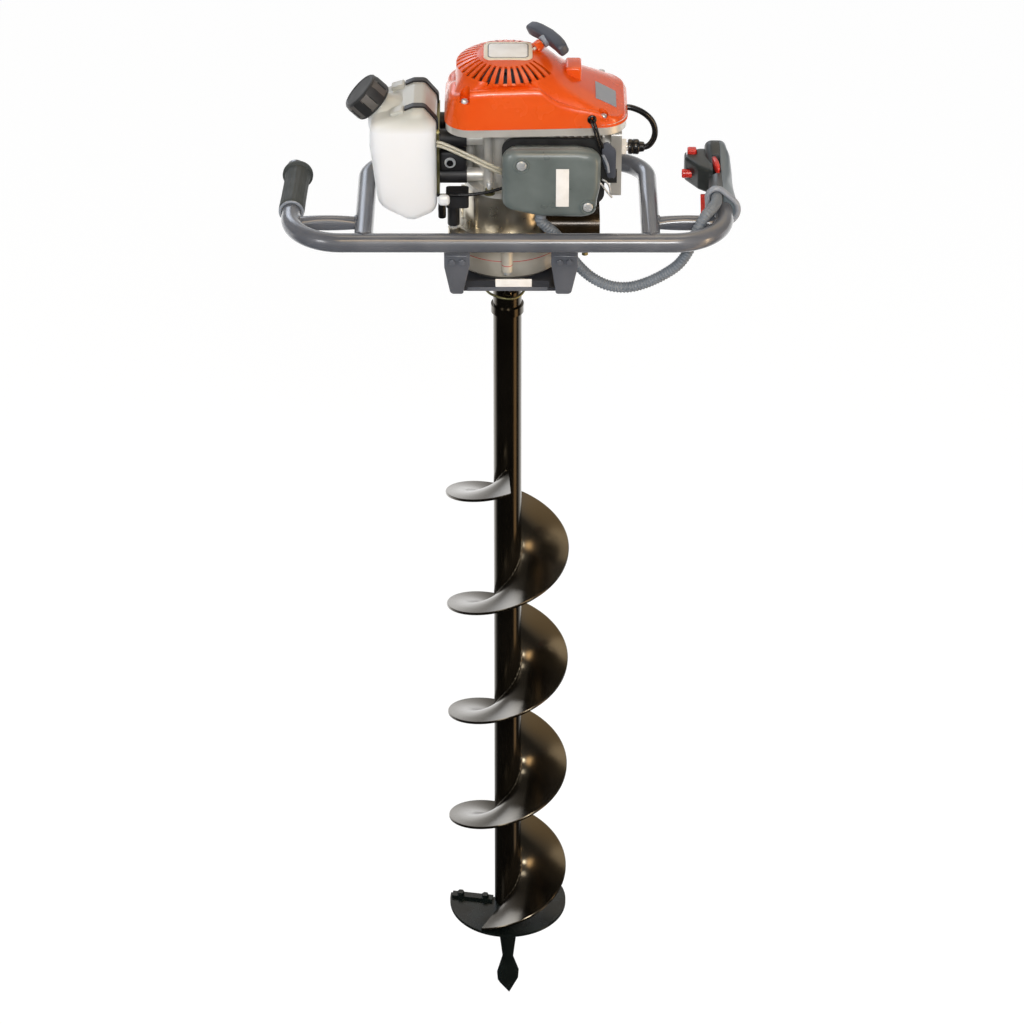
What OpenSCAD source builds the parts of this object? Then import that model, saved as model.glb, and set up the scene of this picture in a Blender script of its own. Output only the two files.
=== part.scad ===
// Petrol earth auger for one person: engine, clutch, two stage gearbox and a screw bit,
// carried in a flat tube frame with two grips. Millimetres, +Z up, spin axis on Z.
// The origin is where the spin axis crosses the plane of the frame tubes.

/* [Handle frame] */
// Outside diameter of the frame tubes
tube_d = 22; // [19:0.5:25]
// Wall of the frame tubes
tube_wall = 2; // [1.5:0.25:3]
// Distance between the centre lines of the two grips
grip_span = 496; // [470:2:540]
// Distance between the front bar and the rear bar
frame_depth = 202; // [200:2:230]
// Distance between the two side tubes
side_span = 326; // [322:2:350]
// Centre line radius of the handlebar bends
bar_bend_r = 60; // [50:2:70]
// Centre line radius of the rear corners
rear_bend_r = 45; // [35:1:60]
// Thickest diameter of the pinched braces
brace_d = 18; // [14:1:21]
// Length of the left grip
grip_len = 104; // [90:2:120]
// Outside diameter of the left grip
grip_d = 33; // [30:1:38]

/* [Cradle] */
// Height of the frame plane over the cradle tray's underside
tray_drop = 73; // [70:1:80]
// Thickness of the tray and its hangers
sheet_t = 4; // [3:0.5:5]
// Half the depth of the tray
tray_half = 81; // [78:1:84]
// Height of the tray's turned up lips
lip_h = 9; // [6:0.5:12]

/* [Gearbox] */
// Wall of the gearbox housings outside the larger ring gear
gear_case_wall = 6; // [5:0.5:9]
// Height of the lower housing above the tray
gear_low_h = 25; // [24.5:0.25:28]
// Height of the upper housing
gear_up_h = 23; // [22:0.5:26]
// Thickness of the gasket between the housings
gasket_t = 1; // [0.5:0.1:1.5]
// Tooth module of the first stage
module_1 = 1.25; // [1.2:0.01:1.28]
// Tooth module of the second stage
module_2 = 1.5; // [1.4:0.01:1.52]
// Face width of the first stage gears
face_1 = 8; // [6:0.25:8.5]
// Face width of the second stage gears
face_2 = 9.5; // [8:0.25:9.75]
// Diameter of the output shaft
out_d = 25; // [22:0.5:26]
// Diameter of the planet pins
pin_d = 8; // [6:0.5:9]

/* [Engine] */
// Height of the clutch bell
bell_h = 48; // [44:1:56]
// Radius of the clutch bell
bell_r = 49; // [46:1:52]
// Height of the crankcase
case_h = 89; // [86:1:100]
// Diameter of the crankshaft
crank_d = 16; // [14:0.5:18]
// Height of the cast fan housing rim
rim_h = 13; // [11:0.5:16]
// Height of the starter cover
cover_h = 62; // [58:1:68]
// Half the width of the starter cover, mm
cover_r = 70; // [68:1:74]
// Wall of the starter cover
cover_wall = 2.5; // [2:0.25:3]
// Number of cooling slots in the dome
slot_count = 24; // [14:1:26]
// Reach of the cowl over the cylinder
cowl_reach = 134; // [132:1:140]
// Side of the square cylinder fins
fin_side = 66; // [58:1:70]
// Number of cylinder fins
fin_count = 8; // [5:1:9]
// Width of the air filter cover
filter_w = 116; // [108:1:116]
// Height of the air filter cover
filter_h = 82; // [76:1:84]
// Depth of the air filter cover
filter_deep = 30; // [26:1:34]
// Diameter of the crank pulley that takes up the starter rope
pulley_d = 54; // [46:1:58]
// Starter rope diameter
rope_d = 4; // [3:0.25:5]

/* [Fuel tank] */
// Depth of the fuel tank
tank_deep = 98; // [80:1:104]
// Diameter of the filler cap
cap_d = 50; // [44:1:52]
// Height of the filler cap
cap_h = 25; // [20:1:28]

/* [Throttle handle] */
// Width of the trigger
trigger_w = 8; // [6:0.5:9]
// Diameter of the half throttle button
button_d = 11; // [9:0.5:12]
// Outside diameter of the ribbed conduit
conduit_d = 13; // [11:0.5:14]
// Bore of the ribbed conduit
conduit_bore = 9; // [7:0.5:9.5]
// Number of ribs on the conduit
rib_count = 110; // [60:1:130]

/* [Auger bit] */
// Outside diameter of the screw flight
auger_d = 150; // [100:5:200]
// Rise of the flight in one turn
auger_pitch = 163; // [120:1:180]
// Number of turns of the flight
flight_turns = 4.08; // [3:0.01:4.2]
// Thickness of the flight plate
flight_t = 4; // [3:0.25:5]
// Outside diameter of the bit's tube
bit_tube_d = 33.7; // [32:0.1:38]
// Wall of the bit's tube
bit_wall = 3.2; // [2.5:0.1:3.5]
// Distance from the pilot tip to the cutting plate
pilot_len = 150; // [110:1:170]
// Distance from the pilot tip to the frame plane
tip_drop = 1175; // [1150:5:1300]
// Thickness of the cutting plate
blade_t = 4; // [3:0.25:6]

/* [Clearances] */
// Running clearance on the radius of a shaft
run_c = 0.05; // [0.02:0.01:0.1]
// Gap between pieces that pass each other
gap = 0.5; // [0.4:0.1:0.8]
// Gap at a seat between fixed pieces
seat = 0.1; // [0.05:0.05:0.2]
// Backlash of the gear teeth
backlash = 0.3; // [0.2:0.05:0.4]

/* [Hidden] */
$fn = 64;
eps = 0.01;

// Frame places
front_y = -frame_depth / 2;
rear_y = frame_depth / 2;
side_x = side_span / 2;
grip_x = grip_span / 2;
bar_half = grip_x - bar_bend_r;
bend_y = front_y + bar_bend_r;
tube_bore = tube_d - 2 * tube_wall;
cope_d = tube_d + 2 * seat;
brace_y = front_y + 48;
grip_y = -16;
grip_end_t = 4;
left_tube_end = grip_y + grip_len - grip_end_t;
handle_front = -22;
right_tube_end = 8;

// Heights up the spin axis
tray_z = -tray_drop;
tray_top = tray_z + sheet_t;
low_top = tray_top + gear_low_h;
up_z = low_top + gasket_t;
up_top = up_z + gear_up_h;
bell_top = up_top + bell_h;
case_top = bell_top + case_h;
rim_top = case_top + rim_h;
cover_top = rim_top + cover_h;
cyl_z = bell_top + case_h / 2 - 2;

// Gear train: teeth of sun, planet and ring, 8 to 1 and then 5 to 1
teeth_1 = [12, 36, 84];
teeth_2 = [18, 27, 72];
pressure = 25;
tooth_add = 0.8;
tooth_ded = 1.05;
arm_1 = module_1 * (teeth_1[0] + teeth_1[1]) / 2;
arm_2 = module_2 * (teeth_2[0] + teeth_2[1]) / 2;
ring_wall = 4.5;
ring_r_1 = module_1 * (teeth_1[2] / 2 + tooth_ded) + ring_wall;
ring_r_2 = module_2 * (teeth_2[2] / 2 + tooth_ded) + ring_wall;
gear_case_r = max(ring_r_1, ring_r_2) + gear_case_wall;
carrier_t = 5;
floor_t = 5;
out_disc_z = tray_top + floor_t + 1;
stage_2_z = out_disc_z + carrier_t + gap;
disc_1_z = stage_2_z + face_2 + gap;
stage_1_z = disc_1_z + carrier_t + gap;
up_roof = up_top - 11;
stop_lip = 2;

// Bearings, shafts and seal
bearing_in_r = 17.5;
bearing_out_r = 26;
bearing_out_h = 15;
drum_shaft_d = 15;
boss_r = 31;
boss_z = tray_z - 19;
seal_r = 20;
seal_h = 7;
pilot_spigot_d = 10;
drum_r = 39;
drum_z = up_top + 8;
drum_h = 26;

// Gearbox flange ears and bolts
ear_r = gear_case_r + 5;
ear_d = 13;
ear_count = 6;
bolt_d = 5;
bell_flange_t = 6;
ear_t = 8;

// Starter cover outline: a round dome and two round corners over the cylinder
corner_r = 30;
corner_x = cowl_reach - corner_r;
corner_y = 34;
left_r = 28;
left_y = cover_r - left_r;
left_x = left_r - cover_r + 1;
crest_x = 14;
dome_r = cover_r - 8;
rim_wall = 3;
cover_skirt = 2;
crown_r = 30;
left_screw = [left_x - 6.5, left_y + 20];
right_screw = [corner_x + 4, corner_y + 23];
// Place, height above the rim and reach of the pocket towards the middle
screw_places = [for (s = [-1, 1], p = [[left_screw, 27, 11], [right_screw, 6, 0]])
    [p[0][0], s * p[0][1], p[1], -s * p[2]]];
screw_d = 4;
pocket_d = 11;
flywheel_r = 58;
flywheel_z = case_top + rim_wall + 2;
pulley_z = cover_top - 38;
pulley_h = 10;
post_d = 10;
pull_turn = 32;
pull_rise = 25;
pull_from = [37, 9, cover_top + 2.5];
handle_len = 76;
stem_len = 9;

// Cylinder and fuel side
cyl_x = 46;
head_x = 118;
head_t = 12;
head_drop = 14;
core_r = 25;
shield_reach = 106;
shield_low = up_top - 4;
shield_h = 27;
shield_deep = 96;
shield_t = 2;
port_x = 74;
filter_x = 52;
filter_front = -93;
filter_back = filter_front + filter_deep;
filter_wall = 2.5;
base_t = 4;
filter_screw_places = [[-36, 23], [39, -29]];
screw_post_d = 8;
carb_back = -37;

// Tank profile seen from the front, a V bottom and a sloped roof, and its filler
tank_front = -52;
tank_right = -80;
tank_profile = [
    [-156, 92], [-155, 122], [-118, 134], [-106, 139], [-94, 139], [-80, 122],
    [-80, 18], [-109, 5], [-147, 24],
];
tank_round = 6;
neck_base = [-140, -4, 117];
neck_tilt = -46;
neck_d = 36;
neck_len = 27;
cap_off = 14;
strap_w = 9;
strap_places = [12.5, tank_deep - 19.5];
strap_t = 2;
strap_end = -116;
bracket_t = 3;
buffer_d = 20;
lug_x = -46;
bracket_x = tank_right + seat;
bracket_w = 82;
bracket_h = 86;
bracket_top = cyl_z - 1 + bracket_h / 2;

// Throttle handle pieces, from the handle's own axis
conduit_at = [-8, 17];
trigger_pivot = [58, -5];
trigger_front = 13;
lock_pivot = [34, 12];
pod_face = -34;
switch_at = [86, 16];
switch_size = [8, 12, 11];
switch_pin_d = 3;
button_at = [66, 2];
button_out = 4;
button_in = 11;

// Route of the conduit from the handle to the carburettor, chosen by hand
conduit_route = [
    [240, -4, 17], [240, -13, 17], [240, -22, 17], [239, -36, 18], [234, -51, 18],
    [225, -64, 14], [216, -71, 0], [208, -74, -22], [196, -74, -42], [178, -71, -58],
    [157, -69, -70], [137, -67, -76], [116, -66, -74], [96, -64, -64], [80, -65, -47],
    [68, -69, -27], [57, -74, -6], [45, -77, 8], [38, -78, 16], [38, -78, 24], [38, -78, 31],
];
conduit_steps = 9;

// Lead from the fan housing to the spark plug cap and the hoses from the tank
lead_d = 7;
lead_route = [
    [120, -8, case_top + 7], [130, -8, case_top + 7], [140, -8, case_top + 7],
    [153, -7, case_top + 1], [163, -5, case_top - 9], [168, -3, case_top - 21],
    [168, -1, case_top - 33], [164, 0, cyl_z + 4], [159, 0, cyl_z], [154, 0, cyl_z],
];
hose_d = 5;
hose_route = [
    [-80, -48, 96], [-72, -48, 96], [-58, -49, 91], [-40, -51, 81], [-22, -54, 71],
    [-6, -54, 64], [8, -53, 61], [26, -51, 60], [44, -50, 60], [55, -50, 60],
];
return_route = [
    [-80, -46, 32], [-70, -46, 32], [-56, -48, 33], [-40, -52, 36], [-20, -55, 41],
    [0, -54, 47], [24, -52, 52], [44, -50, 53], [55, -50, 53],
];

// Bit places
tip_z = -tip_drop;
blade_z = tip_z + pilot_len;
auger_r = auger_d / 2;
bit_r = bit_tube_d / 2;
socket_c = 0.05;
flight_start = 243;
flight_steps = 32;
flight_z = blade_z + blade_t;
bit_top = boss_z - 8;
bit_bottom = blade_z - 6;
shaft_end = bit_top - 70;
hitch_z = bit_top - 14;
hitch_d = 8;
collar_z = bit_top - 44;

// Helper geometry

module along_y(d, y0, y1) {
    translate([0, y0, 0])
        rotate([-90, 0, 0])
            cylinder(d = d, h = y1 - y0);
}

module along_x(d, x0, x1) {
    translate([x0, 0, 0])
        rotate([0, 90, 0])
            cylinder(d = d, h = x1 - x0);
}

// Rectangle with round corners, centred
module round_rect(w, h, r) {
    square([w - 2 * r, h], center = true);
    square([w, h - 2 * r], center = true);
    for (x = [-1, 1], y = [-1, 1])
        translate([x * (w / 2 - r), y * (h / 2 - r)])
            circle(r = r);
}

// Upright plate in the XZ plane, from y0 to y1
module face_plate(y0, y1) {
    translate([0, y1, 0])
        rotate([90, 0, 0])
            linear_extrude(y1 - y0)
                children();
}

// Upright plate in the YZ plane, from x0 to x1
module side_plate(x0, x1) {
    translate([x0, 0, 0])
        rotate([90, 0, 90])
            linear_extrude(x1 - x0)
                children();
}

function unit(v) = v / norm(v);

// Smooth curve through the route points
function curve_point(a, b, c, d, t) =
    0.5 * (2 * b + (c - a) * t + (2 * a - 5 * b + 4 * c - d) * t * t
        + (3 * b - a - 3 * c + d) * t * t * t);
function curve(p, steps) = let(last = len(p) - 1) concat(
    [for (i = [0:last - 1], k = [0:steps - 1])
        curve_point(
            i == 0 ? 2 * p[0] - p[1] : p[i - 1], p[i], p[i + 1],
            i == last - 1 ? 2 * p[last] - p[last - 1] : p[i + 2], k / steps)],
    [p[last]]);

// Length along a list of points, and the point at one length
function run_lengths(p, i = 0, sum = 0, out = []) =
    i == len(p) ? out
    : let(s = i == 0 ? 0 : sum + norm(p[i] - p[i - 1])) run_lengths(p, i + 1, s, concat(out, [s]));
function point_at(p, s, want) =
    let(i = max([for (k = [0:len(p) - 2]) s[k] <= want + eps ? k : 0]))
    p[i] + (p[i + 1] - p[i]) * min(1, (want - s[i]) / (s[i + 1] - s[i]));
function evenly(p, count) =
    let(s = run_lengths(p), all = s[len(s) - 1])
    [for (k = [0:count]) point_at(p, s, all * k / count)];

// Direction and side vector at each point of a route
function directions(p) = [for (i = [0:len(p) - 1])
    unit(p[min(i + 1, len(p) - 1)] - p[max(i - 1, 0)])];
function side_vectors(t, i = 0, out = []) =
    i == len(t) ? out
    : let(
        from = i == 0 ? (abs(t[0][2]) < 0.9 ? [0, 0, 1] : [1, 0, 0]) : out[i - 1],
        v = unit(from - (from * t[i]) * t[i]))
    side_vectors(t, i + 1, concat(out, [v]));
function ring_points(p, t, n, r, sides) = [for (i = [0:len(p) - 1], k = [0:sides - 1])
    p[i] + r[i % len(r)] * (cos(360 * k / sides) * n[i] + sin(360 * k / sides) * cross(t[i], n[i]))];
function wall_faces(rings, sides, start, out) = [
    for (i = [0:rings - 2], k = [0:sides - 1], half = [0, 1])
        let(
            a = start + i * sides + k,
            b = start + i * sides + (k + 1) % sides,
            c = a + sides,
            d = b + sides,
            f = half == 0 ? [a, b, d] : [a, d, c])
        out ? [f[2], f[1], f[0]] : f];
function disc_faces(sides, start, flip) = [for (k = [1:sides - 2])
    flip ? [start, start + k, start + k + 1] : [start, start + k + 1, start + k]];
function lip_faces(sides, a, b, flip) = [for (k = [0:sides - 1], half = [0, 1])
    let(
        m = (k + 1) % sides,
        f = half == 0 ? [a + k, a + m, b + m] : [a + k, b + m, b + k])
    flip ? [f[2], f[1], f[0]] : f];

// Round cord along a route
module cord(route, d, steps, sides = 8) {
    p = curve(route, steps);
    t = directions(p);
    n = side_vectors(t);
    rings = len(p);
    polyhedron(
        points = ring_points(p, t, n, [d / 2], sides),
        faces = concat(
            wall_faces(rings, sides, 0, true),
            disc_faces(sides, 0, true),
            disc_faces(sides, (rings - 1) * sides, false)));
}

// Tooth outline: half angle of a tooth at radius r for a gear of z teeth
function involute(a) = tan(a) * 180 / PI - a;
function tooth_half(z, m, r, slack) =
    let(rp = m * z / 2, rb = rp * cos(pressure), a = r > rb ? acos(rb / r) : 0)
    90 / z - slack / 4 / rp * 180 / PI + involute(pressure) - involute(a);
function gear_outline(z, m, root, tip, slack) =
    let(
        rp = m * z / 2,
        rb = rp * cos(pressure),
        form = max(root + 0.05, rb + 0.02),
        radii = [root, form, (form + tip) / 2, tip])
    [for (i = [0:z - 1], s = [-1, 1], k = [0:3])
        let(r = s < 0 ? radii[k] : radii[3 - k], a = 360 * i / z + s * tooth_half(z, m, r, slack))
        r * [cos(a), sin(a)]];

module outer_gear(z, m) {
    polygon(gear_outline(z, m, m * (z / 2 - tooth_ded), m * (z / 2 + tooth_add), backlash));
}

module inner_gear(z, m, outer_r) {
    difference() {
        circle(r = outer_r);
        polygon(gear_outline(z, m, m * (z / 2 - tooth_add), m * (z / 2 + tooth_ded), -backlash));
    }
}

// Frame tubes

module handlebar_path(d, past) {
    translate([0, front_y, 0])
        along_x(d, -bar_half, bar_half);
    for (s = [0, 1])
        mirror([s, 0, 0])
            translate([bar_half, bend_y, 0])
                rotate([0, 0, -90])
                    rotate_extrude(angle = 90)
                        translate([bar_bend_r, 0])
                            circle(d = d);
    translate([-grip_x, 0, 0])
        along_y(d, bend_y, left_tube_end + past);
    translate([grip_x, 0, 0])
        along_y(d, bend_y, right_tube_end + past);
}

module handlebar() {
    color("#6c7180")
        difference() {
            handlebar_path(tube_d, 0);
            handlebar_path(tube_bore, 1);
        }
}

module rear_path(d) {
    corner = side_x - rear_bend_r;
    translate([0, rear_y, 0])
        along_x(d, -corner, corner);
    for (s = [0, 1])
        mirror([s, 0, 0]) {
            translate([corner, rear_y - rear_bend_r, 0])
                rotate_extrude(angle = 90)
                    translate([rear_bend_r, 0])
                        circle(d = d);
            translate([side_x, 0, 0])
                along_y(d, front_y, rear_y - rear_bend_r);
        }
}

// The U of side tubes and rear bar, coped onto the front bar
module rear_loop() {
    color("#6c7180")
        difference() {
            rear_path(tube_d);
            rear_path(tube_bore);
            translate([0, front_y, 0])
                along_x(cope_d, -bar_half, bar_half);
        }
}

// Short tubes with pinched ends between the handlebar bends and the side tubes
module grip_braces() {
    taper = 14;
    end_d = brace_d * 0.65;
    color("#6c7180")
        for (s = [0, 1])
            mirror([s, 0, 0])
                difference() {
                    translate([0, brace_y, 0]) {
                        along_x(brace_d, side_x + taper, grip_x - taper);
                        translate([side_x, 0, 0])
                            rotate([0, 90, 0])
                                cylinder(d1 = end_d, d2 = brace_d, h = taper);
                        translate([grip_x - taper, 0, 0])
                            rotate([0, 90, 0])
                                cylinder(d1 = brace_d, d2 = end_d, h = taper);
                    }
                    handlebar_path(cope_d, 0);
                    rear_path(cope_d);
                }
}

// Rubber grip with a front ring and an end flange
module left_grip() {
    r = grip_d / 2;
    bore = tube_d / 2;
    color("#2f3332")
        translate([-grip_x, grip_y, 0])
            rotate([-90, 0, 0])
                rotate_extrude()
                    polygon([
                        [bore, 0], [r + 1, 0], [r + 1, 5], [r, 7], [r - 0.5, grip_len / 2],
                        [r, grip_len - 10], [r + 2.5, grip_len - 8], [r + 2.5, grip_len - 2],
                        [r, grip_len], [0, grip_len], [0, grip_len - grip_end_t],
                        [bore, grip_len - grip_end_t],
                    ]);
}

// Cradle

// One folded strap from the front bar, under the tray, up to the rear bar
module hanger() {
    foot = tray_half + seat;
    out = foot + sheet_t;
    low = tray_z - sheet_t;
    reach = rear_y + 3;
    top_in = 46;
    top_out = 77;
    difference() {
        intersection() {
            side_plate(top_in, top_out)
                polygon([
                    [-reach, 0], [-out, low], [out, low], [reach, 0], [reach - sheet_t, 0],
                    [foot, tray_z], [-foot, tray_z], [-reach + sheet_t, 0],
                ]);
            face_plate(-reach - 1, reach + 1)
                polygon([
                    [top_in, 1], [top_out, 1], [top_out, -28], [top_out - 8, low - 1],
                    [top_in + 4, low - 1], [top_in, -28],
                ]);
        }
        for (y = [front_y, rear_y])
            translate([0, y, 0])
                along_x(cope_d, 0, grip_x);
        for (x = [top_in + 9, top_out - 9])
            translate([x, 0, -26])
                along_y(5, -reach - 1, reach + 1);
    }
    for (s = [0, 1])
        mirror([0, s, 0])
            side_plate(top_in + 3, top_in + 6)
                polygon([[-foot - 2, tray_top], [-foot + 26, tray_top], [-foot - 6, -34], [-foot - 12, -34]]);
}

module hangers() {
    color("#70747f")
        for (s = [0, 1])
            mirror([s, 0, 0])
                hanger();
}

// Sheet tray under the gearbox with turned up front and rear lips
module base_tray() {
    half_w = gear_case_r;
    color("#5d616c")
        difference() {
            union() {
                translate([-half_w, -tray_half, tray_z])
                    cube([2 * half_w, 2 * tray_half, sheet_t]);
                for (y = [-tray_half, tray_half - 3])
                    translate([-48, y, tray_z])
                        cube([96, 3, sheet_t + lip_h]);
            }
            translate([0, 0, tray_z - 1])
                cylinder(r = boss_r + seat, h = sheet_t + 2);
        }
}

// Gearbox

module case_outline() {
    circle(r = gear_case_r);
    for (i = [0:ear_count - 1])
        rotate(30 + i * 360 / ear_count)
            translate([ear_r, 0])
                circle(d = ear_d);
}

module ear_holes(z0, z1) {
    for (i = [0:ear_count - 1])
        rotate([0, 0, 30 + i * 360 / ear_count])
            translate([ear_r, 0, z0])
                cylinder(d = bolt_d + 2 * seat, h = z1 - z0);
}

module gearbox_lower() {
    color("#c9c8c2")
        difference() {
            union() {
                translate([0, 0, tray_top])
                    cylinder(r1 = gear_case_r - 7, r2 = gear_case_r, h = 6);
                translate([0, 0, tray_top + 6])
                    cylinder(r = gear_case_r, h = gear_low_h - 6);
                translate([0, 0, low_top - ear_t])
                    linear_extrude(ear_t)
                        case_outline();
                translate([0, 0, boss_z])
                    cylinder(r = boss_r, h = tray_top - boss_z);
            }
            translate([0, 0, stage_2_z - stop_lip])
                cylinder(r = ring_r_2, h = low_top - stage_2_z + stop_lip + 1);
            translate([0, 0, tray_top + floor_t])
                cylinder(r = ring_r_2 - ring_wall - 1, h = gear_low_h);
            translate([0, 0, tray_top + floor_t - bearing_out_h])
                cylinder(r = bearing_out_r, h = bearing_out_h + 1);
            translate([0, 0, boss_z - 1])
                cylinder(r = seal_r, h = seal_h + 1);
            translate([0, 0, boss_z])
                cylinder(d = out_d + 6, h = tray_top - boss_z);
            ear_holes(low_top - ear_t - 1, low_top + 1);
        }
}

module gearbox_gasket() {
    color("#c6453f")
        translate([0, 0, low_top])
            difference() {
                linear_extrude(gasket_t)
                    case_outline();
                translate([0, 0, -1])
                    cylinder(r = ring_r_2, h = gasket_t + 2);
                ear_holes(-1, gasket_t + 1);
            }
}

module gearbox_upper() {
    color("#cfcec8")
        difference() {
            translate([0, 0, up_z])
                linear_extrude(gear_up_h)
                    case_outline();
            translate([0, 0, up_z - 1])
                cylinder(r = ring_r_1, h = up_roof - up_z + 1);
            translate([0, 0, up_roof - 1])
                cylinder(r = bearing_in_r, h = up_top - up_roof + 2);
            ear_holes(up_z - 1, up_top + 1);
        }
}

// Long bolts through bell flange, upper and lower housing, with their nuts
module gearbox_bolts() {
    top = up_top + bell_flange_t;
    low = low_top - ear_t;
    color("#b9bcc0")
        for (i = [0:ear_count - 1])
            rotate([0, 0, 30 + i * 360 / ear_count])
                translate([ear_r, 0, 0]) {
                    translate([0, 0, low - 4])
                        cylinder(d = bolt_d, h = top - low + 5);
                    translate([0, 0, top])
                        cylinder(d = bolt_d * 1.9, h = 4, $fn = 6);
                    translate([0, 0, low - 4])
                        cylinder(d = bolt_d * 1.9, h = 4, $fn = 6);
                }
}

module bearing(r, bore, z, h) {
    translate([0, 0, z])
        difference() {
            cylinder(r = r, h = h);
            translate([0, 0, -1])
                cylinder(d = bore + 2 * run_c, h = h + 2);
        }
}

// Input and output bearings and the lip seal under the output bearing
module gearbox_bearings() {
    color("#a9adb2") {
        bearing(bearing_in_r, drum_shaft_d, up_roof, up_top - up_roof);
        bearing(bearing_out_r, out_d, tray_top + floor_t - bearing_out_h, bearing_out_h);
        bearing(seal_r, out_d, boss_z, seal_h);
    }
}

module ring_gears() {
    color("#8c8f94") {
        translate([0, 0, stage_2_z - stop_lip])
            linear_extrude(low_top - stage_2_z + stop_lip)
                inner_gear(teeth_2[2], module_2, ring_r_2);
        translate([0, 0, up_z])
            linear_extrude(up_roof - up_z)
                rotate(180 / teeth_1[2])
                    inner_gear(teeth_1[2], module_1, ring_r_1);
    }
}

module planet(z, m, face, arm, base, turn, spin) {
    rotate([0, 0, turn])
        translate([arm, 0, base])
            difference() {
                linear_extrude(face)
                    rotate(spin)
                        outer_gear(z, m);
                translate([0, 0, -1])
                    cylinder(d = pin_d + 2 * run_c, h = face + 2);
            }
}

module planet_1(turn) {
    color("#9a9da2")
        planet(teeth_1[1], module_1, face_1, arm_1, stage_1_z, turn, 180 / teeth_1[1]);
}

module planet_2(turn) {
    color("#9a9da2")
        planet(teeth_2[1], module_2, face_2, arm_2, stage_2_z, turn, 0);
}

module planet_1a() { planet_1(0); }
module planet_1b() { planet_1(120); }
module planet_1c() { planet_1(240); }
module planet_2a() { planet_2(0); }
module planet_2b() { planet_2(120); }
module planet_2c() { planet_2(240); }

// Output shaft with the second stage's planet pins and a spigot for the second sun
module output_carrier() {
    color("#84878c")
        difference() {
            union() {
                translate([0, 0, out_disc_z])
                    cylinder(r = arm_2 + pin_d, h = carrier_t);
                translate([0, 0, shaft_end])
                    cylinder(d = out_d, h = out_disc_z - shaft_end);
                translate([0, 0, out_disc_z])
                    cylinder(d = pilot_spigot_d, h = carrier_t + face_2);
                for (i = [0:2])
                    rotate([0, 0, 120 * i])
                        translate([arm_2, 0, out_disc_z])
                            cylinder(d = pin_d, h = carrier_t + face_2);
            }
            translate([0, 0, hitch_z])
                along_y(hitch_d + 2 * seat, -out_d, out_d);
        }
}

// First stage carrier with the second stage's sun under it
module first_carrier() {
    color("#84878c")
        difference() {
            union() {
                translate([0, 0, disc_1_z])
                    cylinder(r = arm_1 + pin_d, h = carrier_t);
                translate([0, 0, stage_2_z])
                    linear_extrude(disc_1_z - stage_2_z)
                        outer_gear(teeth_2[0], module_2);
                for (i = [0:2])
                    rotate([0, 0, 120 * i])
                        translate([arm_1, 0, disc_1_z])
                            cylinder(d = pin_d, h = carrier_t + face_1);
            }
            translate([0, 0, stage_2_z - 1])
                cylinder(d = pilot_spigot_d + 2 * run_c, h = face_2 + 2);
        }
}

// Clutch drum with the first stage's sun cut on its shaft
module clutch_drum() {
    color("#8e9196") {
        difference() {
            translate([0, 0, drum_z])
                cylinder(r = drum_r, h = drum_h);
            translate([0, 0, drum_z + 3])
                cylinder(r = drum_r - 3, h = drum_h);
        }
        translate([0, 0, stage_1_z + face_1])
            cylinder(d = drum_shaft_d, h = drum_z - stage_1_z - face_1);
        translate([0, 0, stage_1_z])
            linear_extrude(face_1)
                outer_gear(teeth_1[0], module_1);
    }
}

// Engine

// Two clutch shoes on their hub at the foot of the crankshaft
module clutch_shoes() {
    shoe_r = drum_r - 4.5;
    color("#77736c")
        translate([0, 0, drum_z + 6])
            difference() {
                cylinder(r = shoe_r, h = 14);
                translate([0, 0, -1])
                    cylinder(d = crank_d, h = 16);
                for (s = [-1, 1])
                    translate([s * (shoe_r + 12), 0, -1])
                        cylinder(r = 24, h = 16);
            }
}

module clutch_housing() {
    wall = 5;
    color("#c4c2bb")
        difference() {
            union() {
                translate([0, 0, up_top])
                    linear_extrude(bell_flange_t)
                        case_outline();
                translate([0, 0, up_top + bell_flange_t])
                    cylinder(r1 = bell_r + 2, r2 = bell_r, h = bell_h - bell_flange_t);
                for (i = [0:7])
                    rotate([0, 0, 90 + i * 45])
                        translate([bell_r - 2, -1.5, up_top + 3])
                            cube([6, 3, bell_h - 10]);
            }
            translate([0, 0, up_top - 1])
                cylinder(r = bell_r - wall, h = bell_h - wall + 1);
            translate([0, 0, up_top])
                cylinder(d = crank_d + 12, h = bell_h + 1);
            ear_holes(up_top - 1, up_top + bell_flange_t + 1);
        }
}

// Crankcase with through bolts' columns, tank lugs and the cylinder's seat
module crankcase() {
    color("#bdbbb4")
        difference() {
            union() {
                translate([0, 0, bell_top])
                    cylinder(r = bell_r, h = 6);
                translate([0, 0, bell_top])
                    cylinder(r = 38, h = case_h);
                translate([0, 0, case_top - 7])
                    cylinder(r = 58, h = 7);
                for (i = [0:3])
                    rotate([0, 0, 60 + 60 * i])
                        translate([bell_r - 6, 0, bell_top])
                            cylinder(d = 11, h = case_h);
                translate([20, -28, cyl_z - 30])
                    cube([cyl_x - 20, 56, 60]);
                for (y = [-22, 22], z = [cyl_z - 24, cyl_z + 22])
                    translate([lug_x, y, z])
                        rotate([0, 90, 0])
                            cylinder(d = 16, h = 30);
            }
            translate([0, 0, bell_top - 1])
                cylinder(d = crank_d + 2 * run_c, h = case_h + 2);
        }
}

module crankshaft() {
    color("#a4a6a8") {
        translate([0, 0, drum_z + 5])
            cylinder(d = crank_d, h = flywheel_z + 22 - drum_z - 5);
    }
}

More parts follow.
